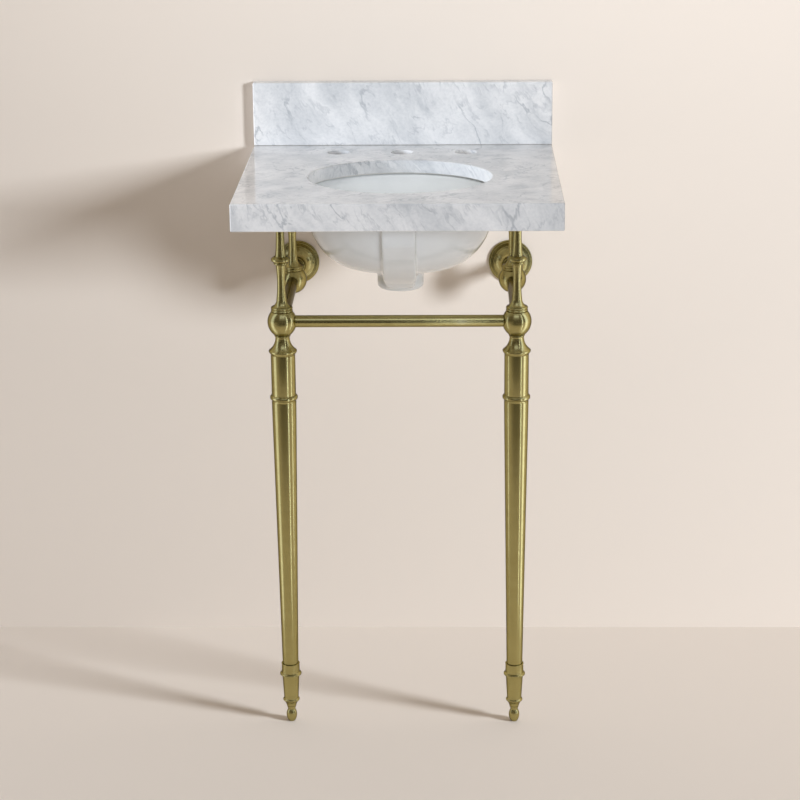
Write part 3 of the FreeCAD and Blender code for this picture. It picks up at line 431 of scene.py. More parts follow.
def plated_steel(tree, place, colours):
    """Zinc plated mild steel: a dull silver with a faint spangle of 5 mm crystals."""
    spangle = add_node(tree, NOISE, {"Vector": place, "Scale": 180, "Detail": 3})
    spangle = add_node(tree, RANGE, {0: spangle, 1: 0.3, 2: 0.7}, **SMOOTH)
    shades = {FACTOR: spangle, FIRST: opaque(colours.steel), SECOND: opaque(colours.steel, 0.75)}
    return {
        "Base Color": add_node(tree, MIX, shades, **BLEND),
        "Metallic": 1,
        "Roughness": add_node(tree, RANGE, {0: spangle, 3: 0.30, 4: 0.42}),
    }


def cured_silicone(tree, place, colours):
    """Silicone sealant, tooled smooth: milky, slightly glossy and a little uneven."""
    # the tool leaves waves of about 8 mm
    uneven = add_node(tree, NOISE, {"Vector": place, "Scale": 120, "Detail": 3})
    clear, milky = opaque(colours.silicone), opaque(colours.silicone, 0.85)
    shades = {FACTOR: uneven, FIRST: clear, SECOND: milky}
    return {
        "Base Color": add_node(tree, MIX, shades, **BLEND),
        "Roughness": add_node(tree, RANGE, {0: uneven, 1: 0.3, 2: 0.7, 3: 0.38, 4: 0.5}),
        "Normal": add_node(tree, BUMP, {"Height": uneven, "Distance": 0.0002, "Strength": 0.4}),
    }


BRASS_ALONG = {"X": "satin_brass_across", "Y": "satin_brass_to_wall", "Z": "satin_brass_upright"}
PLAIN = (polished_marble, glazed_china, plated_steel, cured_silicone)
SURFACES = {maker.__name__: maker for maker in PLAIN}
SURFACES.update({name: partial(satin_brass, axis=axis) for axis, name in BRASS_ALONG.items()})


def material_for(name):
    """The finish of that name, made the first time that it is asked for."""
    made = bpy.data.materials.get(name)
    if made:
        return made
    material, tree = new_material(name)
    place = add_node(tree, COORDINATES, output="Object")
    links = SURFACES[name](tree, place, bpy.context.scene.console_finish)
    add_node(tree, OUTPUT, {"Surface": add_node(tree, PRINCIPLED, links)})
    return material


# Modelling

def start_piece(name):
    """The new primitive, renamed with its mesh."""
    piece = bpy.context.active_object
    piece.name = name
    piece.data.name = name
    return piece


def deselect():
    bpy.ops.object.select_all(action="DESELECT")


def edit_mode():
    bpy.ops.object.mode_set(mode="EDIT")
    bpy.ops.mesh.select_mode(type="VERT")


def select_mesh():
    bpy.ops.mesh.select_all(action="SELECT")


def object_mode():
    bpy.ops.object.mode_set(mode="OBJECT")


def make_active(piece):
    deselect()
    piece.select_set(True)
    bpy.context.view_layer.objects.active = piece


def finish_piece(piece, material, slot, nodes, body="console"):
    """Smooth shading, a finish, and the piece's part in the frame."""
    make_active(piece)
    bpy.ops.object.shade_smooth_by_angle(angle=SMOOTH_ANGLE)
    piece.data.materials.clear()
    piece.data.materials.append(material_for(material))
    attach(piece, body)
    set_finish(piece, slot)
    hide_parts(*nodes)
    return piece


def apply_modifier(piece, kind, **settings):
    make_active(piece)
    modifier = piece.modifiers.new(kind.title(), kind)
    for name, value in settings.items():
        setattr(modifier, name, value)
    bpy.ops.object.modifier_apply(modifier=modifier.name)


# a stop's ease is counted in console_turning.ease
Stop = namedtuple("Stop", "radius height bow ease", defaults=(0.0, 0.0))


def bowed(start, end, bow, pieces=14):
    """Points of the arc from start to end that stands bow off its chord, outwards if positive."""
    chord = end - start
    half = chord.length / 2
    across = Vector((chord.y, -chord.x)).normalized()
    if across.x < 0:
        across = -across
    arc_radius = (half**2 + bow**2) / (2 * abs(bow))
    centre = (start + end) / 2 + across * (bow - math.copysign(arc_radius, bow))
    first, last = start - centre, end - centre
    turn = first.angle_signed(last)
    return [centre + Matrix.Rotation(-turn * i / pieces, 2) @ first for i in range(1, pieces + 1)]


def outline_points(stops):
    """(radius, height) points through the stops, with bowed stretches and eased corners."""
    edge = bpy.context.scene.console_turning.ease
    points, eases = [], []
    for stop in stops:
        here = Vector((stop.radius, stop.height))
        if stop.bow:
            arc = bowed(points[-1], here, stop.bow)
            points += arc
            eases += [0.0] * (len(arc) - 1) + [stop.ease * edge]
        else:
            points.append(here)
            eases.append(stop.ease * edge)
    eased = []
    for i, (point, ease) in enumerate(zip(points, eases)):
        if not ease or i in (0, len(points) - 1):
            eased.append(point)
            continue
        before, after = points[i - 1] - point, points[i + 1] - point
        start = point + before.normalized() * min(ease, before.length * EASE_SHARE)
        end = point + after.normalized() * min(ease, after.length * EASE_SHARE)
        for t in (0.0, 0.25, 0.5, 0.75, 1.0):
            eased.append(start * (1 - t) ** 2 + point * 2 * t * (1 - t) + end * t**2)
    return eased


def turned_piece(name, stops, centre, axis="Z"):
    """A piece turned about an axis through centre, solid unless its stops end where they began."""
    if stops[0] != stops[-1]:
        stops = [Stop(0, stops[0].height), *stops, Stop(0, stops[-1].height)]
    along = Vector([float(letter == axis) for letter in "XYZ"])
    outward = Vector((0, 1, 0)) if axis == "X" else Vector((1, 0, 0))
    base = centre - along * centre.dot(along)
    places = [base + outward * p.x + along * p.y for p in outline_points(stops)]
    deselect()
    bpy.ops.mesh.primitive_plane_add(size=MM)
    piece = start_piece(name)
    edit_mode()
    bpy.ops.mesh.merge(type="CENTER")
    bpy.ops.transform.translate(value=places[0])
    for here, there in zip(places, places[1:]):
        bpy.ops.mesh.extrude_vertices_move(TRANSFORM_OT_translate={"value": there - here})
    select_mesh()
    sides = bpy.context.scene.console_turning.sides
    bpy.ops.mesh.spin(steps=sides, angle=2 * math.pi, center=base, axis=along)
    select_mesh()
    bpy.ops.mesh.remove_doubles(threshold=MERGE_DISTANCE)
    bpy.ops.mesh.normals_make_consistent(inside=False)
    object_mode()
    return piece


def turned_brass(name, stops, centre, node, axis="Z", body="console"):
    """A turned piece of satin brass, brushed round its own axis."""
    piece = turned_piece(name, stops, centre, axis)
    return finish_piece(piece, BRASS_ALONG[axis], "satin_brass", [node], body)


def tube_stops(first, last, wall, ease=0.0):
    """Stops round a tube's wall, from the outer radius and place of one end to the other's."""
    corners = [Stop(*first, ease=ease), Stop(*last, ease=ease)]
    inside = [Stop(radius - wall, place) for radius, place in (first, last)]
    return [inside[0], *corners, inside[1], inside[0]]


def block_piece(name, lowest, highest):
    """A squared block between two corners, with its place in its mesh."""
    deselect()
    middle, size = (lowest + highest) / 2, highest - lowest
    bpy.ops.mesh.primitive_cube_add(size=1, location=middle, scale=size)
    piece = start_piece(name)
    bpy.ops.object.transform_apply(location=True, rotation=True, scale=True)
    return piece


def select_edges(piece, is_wanted):
    """In edit mode, select the edges whose middle passes the test."""
    bpy.ops.mesh.select_mode(type="EDGE")
    bpy.ops.mesh.select_all(action="DESELECT")
    mesh = bmesh.from_edit_mesh(piece.data)
    for edge in mesh.edges:
        edge.select_set(is_wanted((edge.verts[0].co + edge.verts[1].co) / 2))
    bmesh.update_edit_mesh(piece.data)


def ease_edges(piece, is_wanted, radius, segments=5):
    make_active(piece)
    edit_mode()
    select_edges(piece, is_wanted)
    bpy.ops.mesh.bevel(offset=radius, segments=segments, affect="EDGES")
    object_mode()


def near(a, b):
    return abs(a - b) < SAME_PLACE


def upper_arris(lowest, highest):
    """A test for a block's top edges, except at the wall, and its upright front corners."""

    def is_wanted(p):
        top_edge = near(p.z, highest.z) and not near(p.y, highest.y)
        corner = near(p.y, lowest.y) and near(abs(p.x), highest.x)
        return top_edge or corner

    return is_wanted


def ringed_piece(name, rings, middle, sides=160):
    """A closed form through oval rings of (half width, half depth, height), lowest first."""
    deselect()
    bpy.ops.mesh.primitive_circle_add(vertices=sides, radius=1, fill_type="NGON")
    piece = start_piece(name)
    edit_mode()
    select_mesh()
    wide, deep, height = rings[0]
    bpy.ops.transform.resize(value=(wide, deep, 1))
    bpy.ops.transform.translate(value=(middle.x, middle.y, height))
    for next_wide, next_deep, next_height in rings[1:]:
        move = {"value": (0, 0, next_height - height)}
        bpy.ops.mesh.extrude_region_move(TRANSFORM_OT_translate=move)
        scale = (next_wide / wide, next_deep / deep, 1)
        bpy.ops.transform.resize(value=scale, center_override=(middle.x, middle.y, next_height))
        wide, deep, height = next_wide, next_deep, next_height
    select_mesh()
    bpy.ops.mesh.normals_make_consistent(inside=False)
    object_mode()
    return piece


def flared_rings(wide, deep, arris):
    """Rings of a cutter that leaves a rounded top edge of that radius on the stone."""
    rings = [(wide, deep, SLAB_BOTTOM - CUTTER_OVERSHOOT)]
    for step in range(ROUNDING_STEPS + 1):
        turn = math.pi / 2 * step / ROUNDING_STEPS
        out = arris * (1 - math.cos(turn))
        rings.append((wide + out, deep + out, TOP_Z - arris + arris * math.sin(turn)))
    rings.append((wide + arris, deep + arris, TOP_Z + CUTTER_OVERSHOOT))
    return rings


def cut_away(piece, cutter):
    apply_modifier(piece, "BOOLEAN", operation="DIFFERENCE", solver="EXACT", object=cutter)
    bpy.data.objects.remove(cutter)


def smoothed_copy(node, name):
    """A copy of a CAD node's mesh with its loose triangles merged."""
    deselect()
    source = frame["nodes"][node]
    piece = bpy.data.objects.new(name, source.data.copy())
    piece.data.name = name
    bpy.context.scene.collection.objects.link(piece)
    make_active(piece)
    edit_mode()
    select_mesh()
    bpy.ops.mesh.remove_doubles(threshold=CAD_MERGE_DISTANCE)
    object_mode()
    return piece


# Pieces

class CONSOLE_OT_countertop(bpy.types.Operator):
    """Polished stone top: the slab with its cut-out and holes, its edge strips and backsplash"""

    bl_idname = "console.countertop"
    bl_label = "Marble top"

    def execute(self, context):
        top = context.scene.console_top
        lowest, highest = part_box("countertop_slab")
        slab = block_piece("marble_slab", lowest, highest)
        ease_edges(slab, upper_arris(lowest, highest), top.arris)
        basin_middle = Vector((0, WALL_Y - top.basin_y, 0))
        oval = flared_rings(top.cutout_width / 2, top.cutout_depth / 2, top.rim_arris)
        cut_away(slab, ringed_piece("oval_cutter", oval, basin_middle))
        for place in (-top.hole_spread / 2, 0, top.hole_spread / 2):
            middle = Vector((place, WALL_Y - top.hole_setback, 0))
            rings = flared_rings(top.hole_radius, top.hole_radius, top.hole_arris)
            cut_away(slab, ringed_piece("hole_cutter", rings, middle, 64))
        self.stone(slab, "countertop_slab")

        for node in ("edge_strip_front", "edge_strip_left", "edge_strip_right"):
            strip_low, strip_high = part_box(node)
            strip = block_piece("marble_" + node, strip_low, strip_high)

            def is_strip_arris(p, strip_low=strip_low):
                outer_side = near(abs(p.x), highest.x)
                at_front = near(p.y, lowest.y)
                bottom_edge = near(p.z, strip_low.z) and (at_front or outer_side)
                return bottom_edge or (at_front and outer_side)

            ease_edges(strip, is_strip_arris, top.arris)
            self.stone(strip, node)

        splash_low, splash_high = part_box("backsplash")
        splash = block_piece("marble_backsplash", splash_low, splash_high)
        ease_edges(splash, upper_arris(splash_low, splash_high), top.arris)
        self.stone(splash, "backsplash")

        # the sealant is wiped off flush with the stone, so only a fine line of it shows
        bed_low, bed_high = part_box("backsplash_bed")
        bed_low.x, bed_high.x = splash_low.x + top.wipe, splash_high.x - top.wipe
        bed_low.y = splash_low.y + top.wipe
        bed = block_piece("splash_sealant", bed_low, bed_high)
        ease_edges(bed, lambda p: near(p.y, bed_low.y), top.wipe)
        finish_piece(bed, "cured_silicone", "silicone", ["backsplash_bed"])
        return {"FINISHED"}

    @staticmethod
    def stone(piece, node):
        finish_piece(piece, "polished_marble", "marble", [node])
        apply_modifier(piece, "WEIGHTED_NORMAL", keep_sharp=True, weight=100)


class CONSOLE_OT_basin(bpy.types.Operator):
    """Undermount basin with its overflow channel and drain boss, rounded as castings are"""

    bl_idname = "console.basin"
    bl_label = "Glazed basin"

    def execute(self, context):
        sizes = context.scene.console_basin
        basin = smoothed_copy("basin", "china_basin")
        apply_modifier(basin, "REMESH", mode="VOXEL", voxel_size=sizes.grain, adaptivity=0.0)
        apply_modifier(basin, "SMOOTH", factor=0.5, iterations=sizes.softening)
        finish_piece(basin, "glazed_china", "porcelain", ["basin"])
        return {"FINISHED"}


class CONSOLE_OT_fixings(bpy.types.Operator):
    """Plated clips, studs, nuts, plugs, rods and plates, and the silicone beds and pads"""

    bl_idname = "console.fixings"
    bl_label = "Fixings and seals"

    CLIPS = ("basin_clips", "basin_clip_studs", "basin_clip_nuts")
    STEEL = (*CLIPS, "post_studs", "rail_plugs", "leg_tie_rods", "wall_plates")
    SOFT = ("basin_seal", "flange_pads")

    def execute(self, context):
        steel = (self.STEEL, "plated_steel", "plated_steel")
        soft = (self.SOFT, "cured_silicone", "silicone")
        for nodes, material, slot in (steel, soft):
            for node in nodes:
                finish_piece(smoothed_copy(node, "smooth_" + node), material, slot, [node])
        return {"FINISHED"}


class CONSOLE_OT_posts(bpy.types.Operator):
    """Turned posts between the hubs and the stone, with their beads, rings and flanges"""

    bl_idname = "console.posts"
    bl_label = "Posts"

    def execute(self, context):
        s = context.scene.console_turning
        rows = (("front", FRONT_Y, "front_posts"), ("rear", REAR_Y, "rear_posts"))
        for side, sign in SIDES:
            for row, y, node in rows:
                centre = Vector((sign * POST_X, y, 0))
                turned_brass(f"{row}_post_{side}", self.outline(s), centre, node)
                places = (FLANGE_BOTTOM, high("post_flanges").z)
                disc = [Stop(s.flange, place, ease=1) for place in places]
                turned_brass(f"{row}_flange_{side}", disc, centre, "post_flanges")
        return {"FINISHED"}

    @staticmethod
    def outline(s):
        foot = HUB_TOP
        beads_top = foot + 2 * s.bead
        ring_bottom = foot + s.ring_lift
        ring_top = ring_bottom + s.ring_height
        ring_bead_bottom = ring_bottom - s.ring_bead_height
        return [
            Stop(s.collar_groove, foot),
            Stop(s.collar, foot + s.bead / 2, ease=2),
            Stop(s.collar_groove, foot + s.bead, ease=0.5),
            Stop(s.collar, foot + 1.5 * s.bead, ease=2),
            Stop(s.collar_groove, beads_top, ease=1),
            Stop(s.throat, beads_top, ease=1),
            Stop(s.shaft, beads_top + s.throat_rise, bow=-s.throat_hollow, ease=1),
            Stop(s.shaft, ring_bead_bottom, bow=-s.waist, ease=0.5),
            Stop(s.ring_bead, ring_bead_bottom + s.ring_bead_height / 2, ease=2),
            Stop(s.ring_neck, ring_bottom, ease=0.5),
            Stop(s.ring, ring_bottom + s.ring_height / 3, ease=2),
            Stop(s.ring, ring_top - s.ring_height / 3, ease=2),
            Stop(s.ring_neck, ring_top, ease=1),
            Stop(s.upper, ring_top, ease=1),
            Stop(s.upper_top, FLANGE_BOTTOM, bow=-s.upper_waist),
        ]


class CONSOLE_OT_hubs(bpy.types.Operator):
    """Onion-shaped hubs where posts, rails and legs meet"""

    bl_idname = "console.hubs"
    bl_label = "Hubs"

    def execute(self, context):
        s = context.scene.console_turning
        rows = (
            ("front_hub", FRONT_Y, self.outline(s, s.hub_foot, HUB_BOTTOM)),
            ("rear_hub", REAR_Y, self.outline(s, s.hub_button, low("rear_hubs").z)),
        )
        for side, sign in SIDES:
            for name, y, stops in rows:
                turned_brass(f"{name}_{side}", stops, Vector((sign * POST_X, y, 0)), name + "s")
        return {"FINISHED"}

    @staticmethod
    def crown(widest, end, rise):
        """Bow of the arc that leaves the widest place upright and ends at a smaller radius."""
        inward = widest - end
        arc_radius = (inward**2 + rise**2) / (2 * inward)
        return arc_radius - math.sqrt(arc_radius**2 - (inward**2 + rise**2) / 4)

    def outline(self, s, foot_radius, bottom):
        upper = self.crown(s.hub, s.hub_top, HUB_TOP - RAIL_Z)
        lower = self.crown(s.hub, foot_radius, RAIL_Z - bottom)
        return [
            Stop(foot_radius, bottom, ease=0.5),
            Stop(s.hub, RAIL_Z, bow=lower),
            Stop(s.hub_top, HUB_TOP, bow=upper, ease=0.5),
        ]


class CONSOLE_OT_rails(bpy.types.Operator):
    """Tubes between the hubs"""

    bl_idname = "console.rails"
    bl_label = "Rails"

    def execute(self, context):
        radius = context.scene.console_turning.rail
        start, end = low("front_rail").x, high("front_rail").x
        stops = tube_stops((radius, start), (radius, end), RAIL_WALL)
        turned_brass("front_tube", stops, Vector((0, FRONT_Y, RAIL_Z)), "front_rail", "X")
        for side, sign in SIDES:
            node = "side_rail_" + side
            stops = tube_stops((radius, low(node).y), (radius, high(node).y), RAIL_WALL)
            centre = Vector((sign * POST_X, 0, RAIL_Z))
            turned_brass("side_tube_" + side, stops, centre, node, "Y")
        return {"FINISHED"}


class CONSOLE_OT_legs(bpy.types.Operator):
    """Front legs: neck, upper tube, ring, tapered tube, ferrule and levelling foot"""

    bl_idname = "console.legs"
    bl_label = "Legs"

    def execute(self, context):
        s = context.scene.console_leg
        upper = tube_stops((s.tube, RING_TOP), (s.tube, TUBE_TOP), s.wall, 0.5)
        ends = (s.taper_top, TAPER_TOP), (s.taper_bottom, FERRULE_TOP)
        taper = tube_stops(*ends, s.wall, 0.5)
        for side, sign in SIDES:
            foot = "foot_" + side
            pieces = (
                ("leg_neck", self.neck(s), "leg_necks", "console"),
                ("leg_upper_tube", upper, "upper_tube_" + side, "console"),
                ("leg_ring", self.ring(s), "leg_rings", "console"),
                ("leg_taper", taper, "tapered_tube_" + side, "console"),
                ("leg_ferrule", self.ferrule(s), "ferrules", "console"),
                ("levelling_foot", self.foot(s), foot, foot),
            )
            centre = Vector((sign * POST_X, FRONT_Y, 0))
            for name, stops, node, body in pieces:
                turned_brass(f"{name}_{side}", stops, centre, node, body=body)
        return {"FINISHED"}

    @staticmethod
    def neck(s):
        lip_bottom = TUBE_TOP + s.lip_lift
        return [
            Stop(s.neck_bead - NECK_BEAD_DEPTH, HUB_BOTTOM),
            Stop(s.neck_bead, HUB_BOTTOM - s.neck_bead_height / 2, ease=2),
            Stop(s.neck_bead - NECK_BEAD_DEPTH, HUB_BOTTOM - s.neck_bead_height, ease=1),
            Stop(s.neck_waist, HUB_BOTTOM - s.neck_waist_drop, bow=-NECK_HOLLOW, ease=2),
            Stop(s.lip, lip_bottom + s.lip_height, bow=-s.flare, ease=1),
            Stop(s.lip, lip_bottom, ease=1),
            Stop(s.tube, TUBE_TOP, ease=0.5),
        ]

    @staticmethod
    def ring(s):
        edge_top = RING_TOP - s.ring_band
        return [
            Stop(s.tube, RING_TOP, ease=0.5),
            Stop(s.ring, edge_top, ease=2),
            Stop(s.ring, edge_top - s.ring_edge, ease=2),
            Stop(s.taper_top, TAPER_TOP, bow=-s.ring_edge / 4, ease=0.5),
        ]

    @staticmethod
    def ferrule(s):
        lip_bottom = FERRULE_TOP - s.ferrule_lip_height
        ring_top = lip_bottom - s.band_height
        ring_bottom = ring_top - s.ferrule_ring_height
        toe_bottom = FERRULE_BOTTOM + s.nose_height
        toe_top = toe_bottom + s.toe_height
        return [
            Stop(s.ferrule_lip, FERRULE_TOP, ease=1),
            Stop(s.band, lip_bottom, ease=0.5),
            Stop(s.band, ring_top, ease=1),
            Stop(s.ferrule_ring, ring_top - s.ferrule_ring_height / 4, ease=2),
            Stop(s.ferrule_ring, ring_bottom + s.ferrule_ring_height / 4, ease=2),
            Stop(s.cone_top, ring_bottom, ease=1),
            Stop(s.cone_bottom, toe_top, ease=1),
            Stop(s.toe, toe_top - s.toe_height / 4, ease=2),
            Stop(s.toe, toe_bottom + s.toe_height / 4, ease=2),
            Stop(s.nose, FERRULE_BOTTOM, bow=-s.nose_flare, ease=1),
        ]

    @staticmethod
    def foot(s):
        crown = CONSOLE_OT_hubs.crown
        stud_top = high("foot_left").z
        return [
            Stop(s.stud, stud_top, ease=1),
            Stop(s.stud, FOOT_NECK_TOP),
            Stop(s.nose, FOOT_NECK_TOP, ease=1),
            Stop(s.foot_neck, s.ball_neck, ease=1),
            Stop(s.ball, s.ball_lift, bow=crown(s.ball, s.foot_neck, s.ball_neck - s.ball_lift)),
            Stop(s.pad, 0, bow=crown(s.ball, s.pad, s.ball_lift), ease=1),
        ]


class CONSOLE_OT_wall_mounts(bpy.types.Operator):
    """Rosettes against the wall and the arms from them to the rear hubs"""

    bl_idname = "console.wall_mounts"
    bl_label = "Wall mounts"

    def execute(self, context):
        s = context.scene.console_wall
        for side, sign in SIDES:
            centre = Vector((sign * POST_X, 0, RAIL_Z))
            turned_brass("wall_rosette_" + side, self.rosette(s), centre, "rosettes", "Y")
            node = "wall_spigot_" + side
            stops = [Stop(s.arm, low(node).y), Stop(s.arm, high(node).y - ARM_GAP)]
            turned_brass("wall_arm_" + side, stops, centre, node, "Y")
        return {"FINISHED"}

    @staticmethod
    def rosette(s):
        step_out = WALL_Y - s.rim_height - s.step_height
        face_out = step_out - s.face_height
        neck_out = ROSETTE_FRONT + s.neck_height
        return [
            Stop(s.arm, WALL_Y),
            Stop(s.rim, WALL_Y),
            Stop(s.rim, WALL_Y - s.rim_height, ease=3),
            Stop(s.step, WALL_Y - s.rim_height, ease=0.5),
            Stop(s.step, step_out, ease=2),
            Stop(s.face, step_out, ease=0.5),
            Stop(s.face, face_out, ease=2),
            Stop(s.neck, neck_out, bow=-s.dish, ease=1),
            Stop(s.neck, ROSETTE_FRONT, ease=2),
            Stop(s.arm, ROSETTE_FRONT),
            Stop(s.arm, WALL_Y),
        ]


# Stage

def aim(lamp, target):
    lamp.rotation_mode = "QUATERNION"
    lamp.rotation_quaternion = (target - lamp.location).to_track_quat("-Z", "Y")


def add_lamp(name, kind, location, target, lit, mirrored, **settings):
    """A lamp that lights the objects of one collection, and shows in what mirrors it or doesn't."""
    data = bpy.data.lights.new(name, kind)
    for key, value in settings.items():
        setattr(data, key, value)
    lamp = bpy.data.objects.new(name, data)
    lamp.location = location
    lamp.visible_camera = False
    lamp.visible_glossy = mirrored
    lamp.light_linking.receiver_collection = lit
    bpy.context.scene.collection.objects.link(lamp)
    aim(lamp, Vector(target))
    return lamp


def softbox(name, location, target, wide, tall, watts, lit, mirrored=False, tint="#FFFFFF"):
    settings = {"size": wide, "size_y": tall, "energy": watts, "color": linear(tint)}
    return add_lamp(name, "AREA", location, target, lit, mirrored, shape="RECTANGLE", **settings)


def lit_together(name, objects):
    """A collection that only says which objects a lamp lights, or which throw its shadows."""
    collection = bpy.data.collections.new(name)
    for thing in objects:
        collection.objects.link(thing)
    return collection


def matt_paint(name, rgb, one_sided):
    """Plain matt paint. One-sided paint is clear from behind, so that the back can be looked at."""
    material, tree = new_material(name)
    place = add_node(tree, COORDINATES, output="Object")
    rolled = add_node(tree, NOISE, {"Vector": place, "Scale": 3.0, "Detail": 2.0})
    rolled = add_node(tree, RANGE, {0: rolled, 1: 0.3, 2: 0.7, 3: 0.9, 4: 0.96})
    paint = {"Base Color": opaque(rgb), "Roughness": rolled, "Specular IOR Level": 0.1}
    surface = add_node(tree, PRINCIPLED, paint)
    if one_sided:
        behind = add_node(tree, "ShaderNodeNewGeometry", output="Backfacing")
        clear = add_node(tree, "ShaderNodeBsdfTransparent")
        surface = add_node(tree, "ShaderNodeMixShader", {0: behind, 1: surface, 2: clear})
    add_node(tree, OUTPUT, {"Surface": surface})
    return material


class CONSOLE_OT_stage(bpy.types.Operator):
    """Camera, lamps, and a plain pale wall and floor"""

    bl_idname = "console.stage"
    bl_label = "Stage"

    CAMERA_PLACE = (0.07636, -3.41797, 1.55990)
    CAMERA_YAW = -0.023333
    CAMERA_PITCH = 0.304281
    CAMERA_ROLL = -0.008855
    CAMERA_LENS = 102.09

    def execute(self, context):
        pieces = [thing for thing in context.scene.objects if thing.type == "MESH"]
        self.camera(context)
        floor, wall = self.surfaces(context)
        self.lamps(pieces, floor, wall)
        self.room(context)
        return {"FINISHED"}

    def camera(self, context):
        data = bpy.data.cameras.new("photo_camera")
        data.lens = self.CAMERA_LENS
        data.sensor_width = 36.0
        camera = bpy.data.objects.new("photo_camera", data)
        context.scene.collection.objects.link(camera)
        yaw, pitch, roll = self.CAMERA_YAW, self.CAMERA_PITCH, self.CAMERA_ROLL
        flat = math.cos(pitch)
        ahead = Vector((math.sin(yaw) * flat, math.cos(yaw) * flat, -math.sin(pitch)))
        level = Vector((math.cos(yaw), -math.sin(yaw), 0))
        upright = level.cross(ahead)
        right = math.cos(roll) * level + math.sin(roll) * upright
        up = math.cos(roll) * upright - math.sin(roll) * level
        turn = Matrix((right, up, -ahead)).transposed().to_4x4()
        camera.matrix_world = Matrix.Translation(Vector(self.CAMERA_PLACE)) @ turn
        context.scene.camera = camera

    def surfaces(self, context):
        paint = context.scene.console_finish.wall
        # name, place, tilt, scale, colour, one-sided
        planes = (
            ("pale_floor", (0, WALL_Y, 0), 0, (24, 24, 1), paint, False),
            ("pale_wall", (0, WALL_Y + 1 * MM, 1.5), math.pi / 2, (24, 3, 1), paint, True),
            ("black_card", (0, -4.2, 4 * MM), 0, (5, 5, 1), (0.01, 0.01, 0.01), False),
        )
        made = []
        for name, place, tilt, scale, rgb, one_sided in planes:
            deselect()
            bpy.ops.mesh.primitive_plane_add(size=1, location=place, rotation=(tilt, 0, 0))
            plane = start_piece(name)
            plane.scale = scale
            plane.data.materials.append(matt_paint(name, rgb, one_sided))
            made.append(plane)
        floor, wall, card = made
        # black card lies before polished metal, out of the picture, to give it contrast
        card.visible_camera = card.visible_diffuse = card.visible_shadow = False
        return floor, wall

    def lamps(self, pieces, floor, wall):
        """The brass, the marble, the china, the wall and the floor each have lamps of their own."""
        slots = [(p, p.get("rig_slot")) for p in pieces]
        brass = lit_together("brass_lit", [p for p, slot in slots if slot == "satin_brass"])
        stone = lit_together("stone_lit", [p for p, slot in slots if slot != "satin_brass"])
        marble = lit_together("marble_lit", [p for p, slot in slots if slot == "marble"])
        china = lit_together("china_lit", [p for p, slot in slots if slot == "porcelain"])
        splash = lit_together("splash_lit", [p for p in pieces if p.name == "marble_backsplash"])
        wall_lit, floor_lit = lit_together("wall_lit", [wall]), lit_together("floor_lit", [floor])
        brass_left, brass_right = (
            lit_together("brass_" + side, [p for p in brass.objects if not p.name.endswith(other)])
            for (side, _), (other, _) in zip(SIDES, reversed(SIDES))
        )
        mid_leg = 0.6
        left, right = (Vector((sign * POST_X, FRONT_Y, mid_leg)) for _, sign in SIDES)
        beside, top = Vector((0.27, -0.29, 0)), (0, 0, 0.85)
        cool, daylight, sky = "#CFDDFF", "#F0F6FF", "#EEF6FF"
        # name, place, target, width, height, watts, what it lights, whether it is mirrored, tint
        # (not mirrored and white by default)
        softboxes = (
            # a panel at each side and a strip to the right of each leg, from the floor up
            ("panel_left", (-0.50, -0.21, mid_leg), left, 0.16, 1.2, 0.82, brass, True, cool),
            ("panel_right", (0.50, -0.205, mid_leg), right, 0.13, 1.2, 1.15, brass, True, cool),
            ("strip_left", left + beside, left, 0.024, 1.2, 0.52, brass_left, True, cool),
            ("strip_right", right + beside, right, 0.024, 1.2, 0.52, brass_right, True, cool),
            ("panel_above", (0, -1.8, 2.35), (0, 0, 0.6), 1.6, 0.9, 6.0, brass, True, cool),
            ("fill_front", (0.9, -3.2, 1.5), top, 1.4, 1.0, 45, stone, False, daylight),
            ("window_left", (-2.25, -0.56, 1.47), top, 0.8, 0.8, 52, marble, False, daylight),
            ("window_high", (-0.6, -1.04, 2.93), top, 0.8, 0.8, 34, china),
            ("splash_fill", (0.9, -2.6, 1.5), (0, WALL_Y, 0.92), 1.0, 0.6, 14, splash),
            ("wall_lamp", (3.9, -4.1, 2.0), (0, WALL_Y, 0.75), 0.9, 1.2, 303, wall_lit, False, sky),
        )
        lamps = {row[0]: softbox(*row) for row in softboxes}
        wash = {"energy": 140, "spot_size": math.radians(45), "spot_blend": 1.0}
        place, target = (0, -3.2, 2.6), (0, WALL_Y, 1.95)
        wall_wash = add_lamp("wall_wash", "SPOT", place, target, wall_lit, False, **wash)
        wall_wash.light_linking.blocker_collection = floor_lit
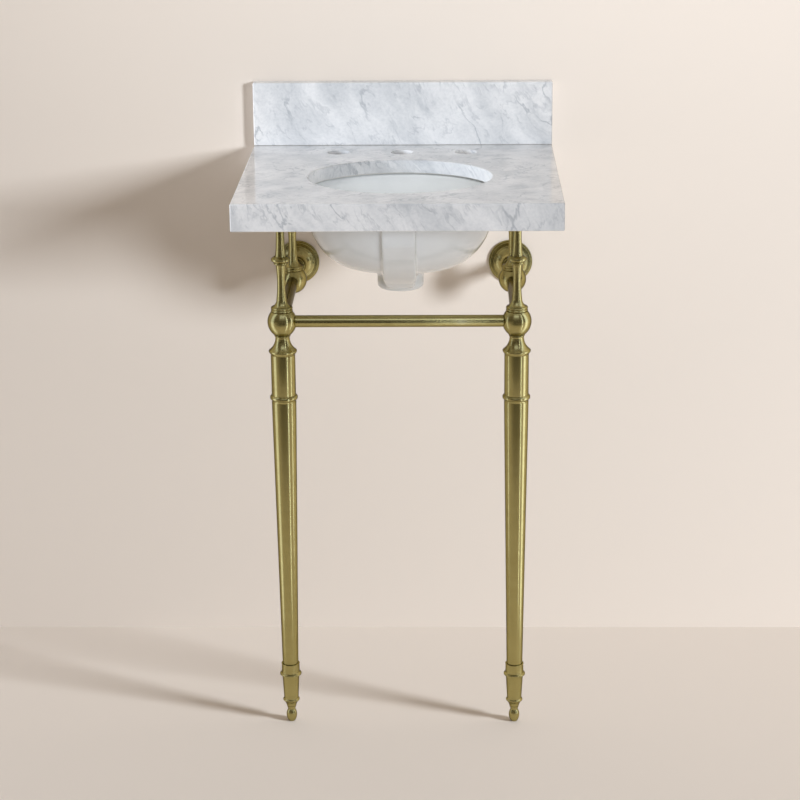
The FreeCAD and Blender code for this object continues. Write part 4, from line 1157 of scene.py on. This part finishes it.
        # the legs stand so far out that only the top and what is near the wall shade the wall
        near_wall = [p for p in pieces if p.name.startswith(("marble", "china", "wall", "rear"))]
        shadows = lit_together("wall_shadows", near_wall)
        lamps["wall_lamp"].light_linking.blocker_collection = shadows
        slant = {"energy": 3.25, "angle": math.radians(12), "color": linear(sky)}
        add_lamp("floor_lamp", "SUN", (3.2, -1.4, 1.8), (0, 0, 0), floor_lit, False, **slant)

    def room(self, context):
        """A dim, warm studio that is a little brighter overhead."""
        world = bpy.data.worlds.new("dim_studio")
        context.scene.world = world
        world.use_nodes = True
        tree = world.node_tree
        tree.nodes.clear()
        direction = add_node(tree, COORDINATES, output="Generated")
        height = add_node(tree, "ShaderNodeSeparateXYZ", {"Vector": direction}, output="Z")
        glow = add_node(tree, RANGE, {0: height, 1: 0.02, 2: 0.6, 3: 0.09, 4: 0.2}, **SMOOTH)
        links = {"Color": (1.0, 0.88, 0.73, 1.0), "Strength": glow}
        light = add_node(tree, "ShaderNodeBackground", links)
        add_node(tree, "ShaderNodeOutputWorld", {"Surface": light})


class CONSOLE_PT_panel(bpy.types.Panel):
    """Lists the console's pieces"""

    bl_idname = "CONSOLE_PT_panel"
    bl_label = "Console Sink"
    bl_space_type = "VIEW_3D"
    bl_region_type = "UI"
    bl_category = "Console Sink"

    def draw(self, context):
        for operator in OPERATORS:
            self.layout.operator(operator.bl_idname)


OPERATORS = (
    CONSOLE_OT_countertop,
    CONSOLE_OT_basin,
    CONSOLE_OT_fixings,
    CONSOLE_OT_posts,
    CONSOLE_OT_hubs,
    CONSOLE_OT_rails,
    CONSOLE_OT_legs,
    CONSOLE_OT_wall_mounts,
    CONSOLE_OT_stage,
)


def register():
    for name, group in GROUPS:
        bpy.utils.register_class(group)
        setattr(bpy.types.Scene, name, bpy.props.PointerProperty(type=group))
    for operator in OPERATORS:
        bpy.utils.register_class(operator)
    bpy.utils.register_class(CONSOLE_PT_panel)


def unregister():
    bpy.utils.unregister_class(CONSOLE_PT_panel)
    for operator in reversed(OPERATORS):
        bpy.utils.unregister_class(operator)
    for name, group in reversed(GROUPS):
        delattr(bpy.types.Scene, name)
        bpy.utils.unregister_class(group)


def main():
    register()
    bpy.context.scene.view_settings.view_transform = "Standard"
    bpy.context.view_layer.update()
    for operator in OPERATORS:
        getattr(bpy.ops.console, operator.bl_idname.split(".")[1])()


if __name__ == "__main__":
    main()
